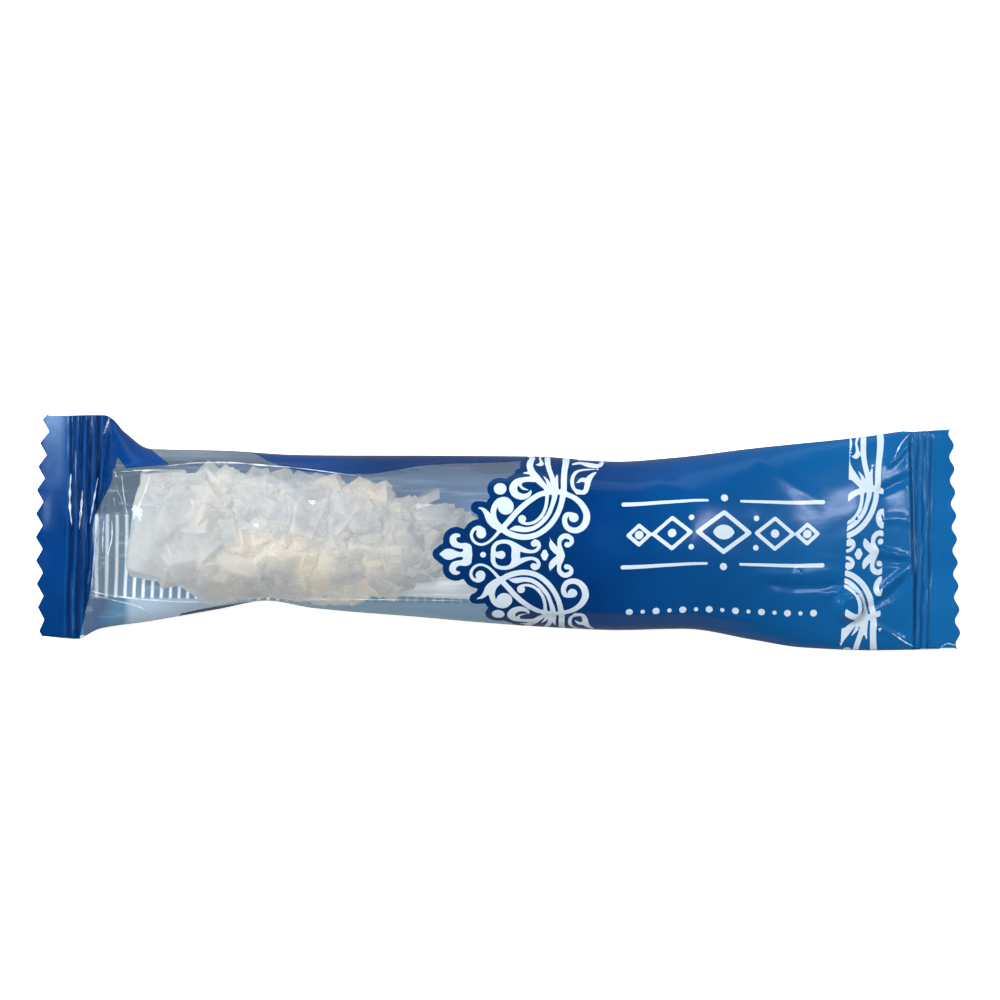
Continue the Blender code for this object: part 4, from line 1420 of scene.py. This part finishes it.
class Stick(Operator):
    """Builds the ridged stick with its ball end"""

    bl_idname = "rock_candy.stick"
    bl_label = "Stick"

    def execute(self, context):
        sizes = context.scene.candy_stick
        radius, knob = sizes.diameter / 2 / MM, sizes.knob / 2 / MM
        start, end = Vector(STICK_START), Vector(STICK_END)
        way = (end - start).normalized()
        side_way = way.cross(Vector((0, 0, 1))).normalized()
        up = side_way.cross(way)
        length = (end - start).length
        runs = [(s, radius) for s in np.arange(0, length - 1.6, 0.5)]
        runs += [(length - 1.5, radius), (length - 1.2, radius + 0.25), (length - 0.6, radius + 0.3),
                 (length - 0.2, radius * 0.86), (length + 0.1, radius * 0.84)]
        middle = length + 0.1 + math.sqrt(max(knob ** 2 - (radius * 0.84) ** 2, 0))
        first = math.acos(-(middle - length - 0.1) / knob)
        for turn in np.linspace(first - 0.12, 0.02, 14):
            runs.append((middle + knob * math.cos(turn), knob * math.sin(turn)))
        around = 48
        points, faces = [], []
        for s, wide in runs:
            on_shaft = s < length - 1.5
            for k in range(around):
                a = 2 * math.pi * k / around
                ridge = 0.36 * abs(math.sin(a * 4)) - 0.20 if on_shaft else 0.0
                wave = 0.03 * math.sin(s * 1.9 + math.sin(a)) if on_shaft else 0.0
                r = wide + ridge + wave
                p = start + way * s + side_way * (r * math.cos(a)) + up * (r * math.sin(a))
                points.append(p * MM)
        rows = len(runs)
        for i in range(rows - 1):
            for k in range(around):
                j = (k + 1) % around
                a, b = i * around, (i + 1) * around
                faces.append((a + k, a + j, b + j, b + k))
        points += [(start - way * 0.3) * MM, (start + way * (middle + knob)) * MM]
        tail, tip = rows * around, rows * around + 1
        for k in range(around):
            j = (k + 1) % around
            faces += [(k, tail, j), ((rows - 1) * around + k, (rows - 1) * around + j, tip)]
        made = add_mesh("ridged_stick", [tuple(p) for p in points], faces, [pale_plastic()])
        made.data.shade_smooth()
        made.data.set_sharp_from_angle(angle=math.radians(35))
        return {"FINISHED"}


def pale_plastic():
    material, n, out = new_material("pale_stick_plastic")
    where = n.add("TexCoord").outputs["Object"]
    mapped = n.add("Mapping", {"Vector": where, "Scale": (90.0, 700.0, 700.0)})
    streak = n.add("TexNoise", {"Vector": mapped.outputs[0], "Scale": 1.0, "Detail": 3.0})
    colour = blend(n, streak.outputs["Fac"], (0.30, 0.33, 0.36, 1),
                   (*bpy.context.scene.candy_stick.colour, 1))
    bump = n.add("Bump", {"Height": streak.outputs["Fac"], "Strength": 0.2, "Distance": 0.0002})
    rough = n.add("MapRange", {"Value": streak.outputs["Fac"], "To Min": 0.28, "To Max": 0.45})
    # A painted glow lifts the stick where it lies in the pack's shade.
    shader = n.add("BsdfPrincipled", {
        "Base Color": colour, "Roughness": rough.outputs[0], "IOR": 1.49,
        "Subsurface Weight": 0.3, "Subsurface Radius": (1.0, 1.0, 1.0), "Subsurface Scale": 0.001,
        "Emission Color": colour, "Emission Strength": 0.52,
        "Normal": bump.outputs["Normal"],
    })
    n.link(shader.outputs[0], out.inputs["Surface"])
    return material


# ---------------------------------------------------------------- stage


def soft_box(name, place, target, size, power, color=(1, 1, 1)):
    """A soft studio lamp that faces a point."""
    data = bpy.data.lights.new(name, "AREA")
    data.shape = "RECTANGLE"
    data.size, data.size_y = size
    data.energy = power
    data.color = color
    made = bpy.data.objects.new(name, data)
    made.location = place
    made.rotation_euler = (Vector(target) - Vector(place)).to_track_quat("-Z", "Y").to_euler()
    bpy.context.scene.collection.objects.link(made)
    return made


class Stage(Operator):
    """Builds the floor, the lamps and the camera"""

    bl_idname = "rock_candy.stage"
    bl_label = "Stage"

    def execute(self, context):
        scene = context.scene
        mesh = bpy.data.meshes.new("floor")
        half = 3.0
        mesh.from_pydata(
            [(-half, -half, -5e-5), (half, -half, -5e-5), (half, half, -5e-5), (-half, half, -5e-5)],
            [], [(0, 1, 2, 3)],
        )
        material, n, out = new_material("pale_floor")
        where = n.add("TexCoord").outputs["Object"]
        speck = n.add("TexNoise", {"Vector": where, "Scale": 300.0, "Detail": 2.0})
        colour = blend(n, speck.outputs["Fac"], (0.90, 0.90, 0.90, 1), (0.94, 0.94, 0.94, 1))
        shader = n.add("BsdfPrincipled", {"Base Color": colour, "Roughness": 0.7})
        lift = n.add("Emission", {"Color": (1, 1, 1, 1), "Strength": 0.95})
        # The floor is lifted to white where it is looked at, and mirrors as a dim grey.
        path = n.add("LightPath").outputs
        both = n.add("AddShader", {0: shader.outputs[0], 1: lift.outputs[0]})
        dim = n.add("Emission", {"Color": (0.94, 0.95, 0.86, 1), "Strength": 0.30})
        seen = n.add("MixShader", {0: path["Is Camera Ray"], 1: shader.outputs[0], 2: both.outputs[0]})
        final = n.add("MixShader", {0: path["Is Glossy Ray"], 1: seen.outputs[0], 2: dim.outputs[0]})
        n.link(final.outputs[0], out.inputs["Surface"])
        mesh.materials.append(material)
        floor = bpy.data.objects.new("floor", mesh)
        scene.collection.objects.link(floor)
        world = bpy.data.worlds.new("studio")
        world.use_nodes = True
        world.node_tree.nodes["Background"].inputs["Color"].default_value = (0.80, 0.92, 1.0, 1)
        world.node_tree.nodes["Background"].inputs["Strength"].default_value = 0.06
        scene.world = world
        power = scene.candy_stage.power
        centre = (0, 0, 0.01)
        top = soft_box("top", (-0.40, 0.30, 1.10), centre, (0.6, 0.6), 15.5 * power)
        top.visible_glossy = False
        left, right, sky = (-0.07, 0, 0.01), (0.065, 0, 0.01), (0.62, 0.86, 1.0)
        soft_box("right_high", (0.65, 0.21, 0.84), right, (0.09, 0.34), 2.1 * power, (0.78, 0.84, 1.0))
        soft_box("right_low", (1.04, 0.10, 0.34), right, (0.16, 0.50), 1.6 * power, sky)
        soft_box("left_high", (-0.44, 0.02, 1.00), left, (0.07, 0.07), 0.3 * power, sky)
        soft_box("back", (0.0, 1.05, 0.30), (0, 0, 0.01), (1.7, 0.40), 2.4 * power, sky)
        soft_box("left_low", (-0.90, 0.27, 0.50), left, (0.16, 0.42), 2.3 * power, sky)
        data = bpy.data.cameras.new("camera")
        data.lens = scene.candy_stage.lens
        data.sensor_width = 36.0
        data.clip_end = 10.0
        camera = bpy.data.objects.new("camera", data)
        camera.location = (-0.18 * MM, 5.8 * MM, 1.010)
        camera.rotation_euler = (0, 0, math.radians(0.88))
        scene.collection.objects.link(camera)
        scene.camera = camera
        scene.view_settings.view_transform = "Standard"
        return {"FINISHED"}


# ---------------------------------------------------------------- add-on


class FilmSettings(PropertyGroup):
    """Colours and thickness of the film"""

    blue: FloatVectorProperty(
        name="Blue ink", description="Lighter blue of the print", subtype="COLOR", size=3,
        min=0, max=1, default=(0.0002, 0.050, 0.225),
    )
    blue_deep: FloatVectorProperty(
        name="Deep blue ink", description="Darker blue of the print", subtype="COLOR", size=3,
        min=0, max=1, default=(0.0001, 0.037, 0.172),
    )
    blue_lit_end: FloatVectorProperty(
        name="Blue ink lit at the stick end", description="Blue of the print at the stick end",
        subtype="COLOR", size=3, min=0, max=1, default=(0.006, 0.118, 0.330),
    )
    white: FloatVectorProperty(
        name="White ink", description="White of the print", subtype="COLOR", size=3,
        min=0, max=1, default=(0.78, 0.85, 0.89),
    )
    thickness: FloatProperty(
        name="Film", description="Thickness of the printed film", subtype="DISTANCE",
        unit="LENGTH", min=0.00002, max=0.0003, default=0.00006,
    )


class SugarSettings(PropertyGroup):
    """Colours and variation of the sugar"""

    seed: IntProperty(name="Seed", description="Changes how the crystals grow", default=7, min=0)
    milky: FloatVectorProperty(
        name="Milky sugar", description="Colour of the cloudy sugar", subtype="COLOR", size=3,
        min=0, max=1, default=(0.425, 0.42, 0.405),
    )
    warm: FloatVectorProperty(
        name="Warm sugar", description="Colour of the creamy patches", subtype="COLOR", size=3,
        min=0, max=1, default=(0.55, 0.50, 0.42),
    )


class StickSettings(PropertyGroup):
    """Sizes and colour of the stick"""

    diameter: FloatProperty(
        name="Stick", description="Diameter of the stick", subtype="DISTANCE", unit="LENGTH",
        min=0.002, max=0.006, default=0.0040,
    )
    knob: FloatProperty(
        name="Ball end", description="Diameter of the ball on the stick's end",
        subtype="DISTANCE", unit="LENGTH", min=0.003, max=0.008, default=0.0054,
    )
    colour: FloatVectorProperty(
        name="Plastic", description="Colour of the stick", subtype="COLOR", size=3,
        min=0, max=1, default=(0.84, 0.86, 0.87),
    )


class StageSettings(PropertyGroup):
    """Lamps and lens"""

    power: FloatProperty(
        name="Lamps", description="Scales every lamp", min=0.1, max=5, default=1.0,
    )
    lens: FloatProperty(
        name="Lens", description="Focal length of the camera", unit="CAMERA", min=50, max=400,
        default=203.2,
    )


GROUPS = {
    "candy_film": FilmSettings, "candy_sugar": SugarSettings, "candy_stick": StickSettings,
    "candy_stage": StageSettings,
}
OPERATORS = (PackFilm, CreaseMarks, BackSeam, RockCandy, Stick, Stage)


class CandyPanel(Panel):
    """Lists the sizes, colours and pieces"""

    bl_idname = "VIEW3D_PT_rock_candy"
    bl_label = "Rock Candy Stick"
    bl_space_type = "VIEW_3D"
    bl_region_type = "UI"
    bl_category = "Rock Candy"

    def draw(self, context):
        for name, group in GROUPS.items():
            column = self.layout.column()
            for key in group.__annotations__:
                column.prop(getattr(context.scene, name), key)
        for operator in OPERATORS:
            self.layout.operator(operator.bl_idname)


CLASSES = (*GROUPS.values(), *OPERATORS, CandyPanel)


def register():
    for item in CLASSES:
        bpy.utils.register_class(item)
    for name, group in GROUPS.items():
        setattr(bpy.types.Scene, name, PointerProperty(type=group))


def unregister():
    for name in GROUPS:
        delattr(bpy.types.Scene, name)
    for item in reversed(CLASSES):
        bpy.utils.unregister_class(item)


def main():
    register()
    bpy.ops.rock_candy.film()
    bpy.ops.rock_candy.creases()
    bpy.ops.rock_candy.seam()
    bpy.ops.rock_candy.candy()
    bpy.ops.rock_candy.stick()
    bpy.ops.rock_candy.stage()


if __name__ == "__main__":
    main()
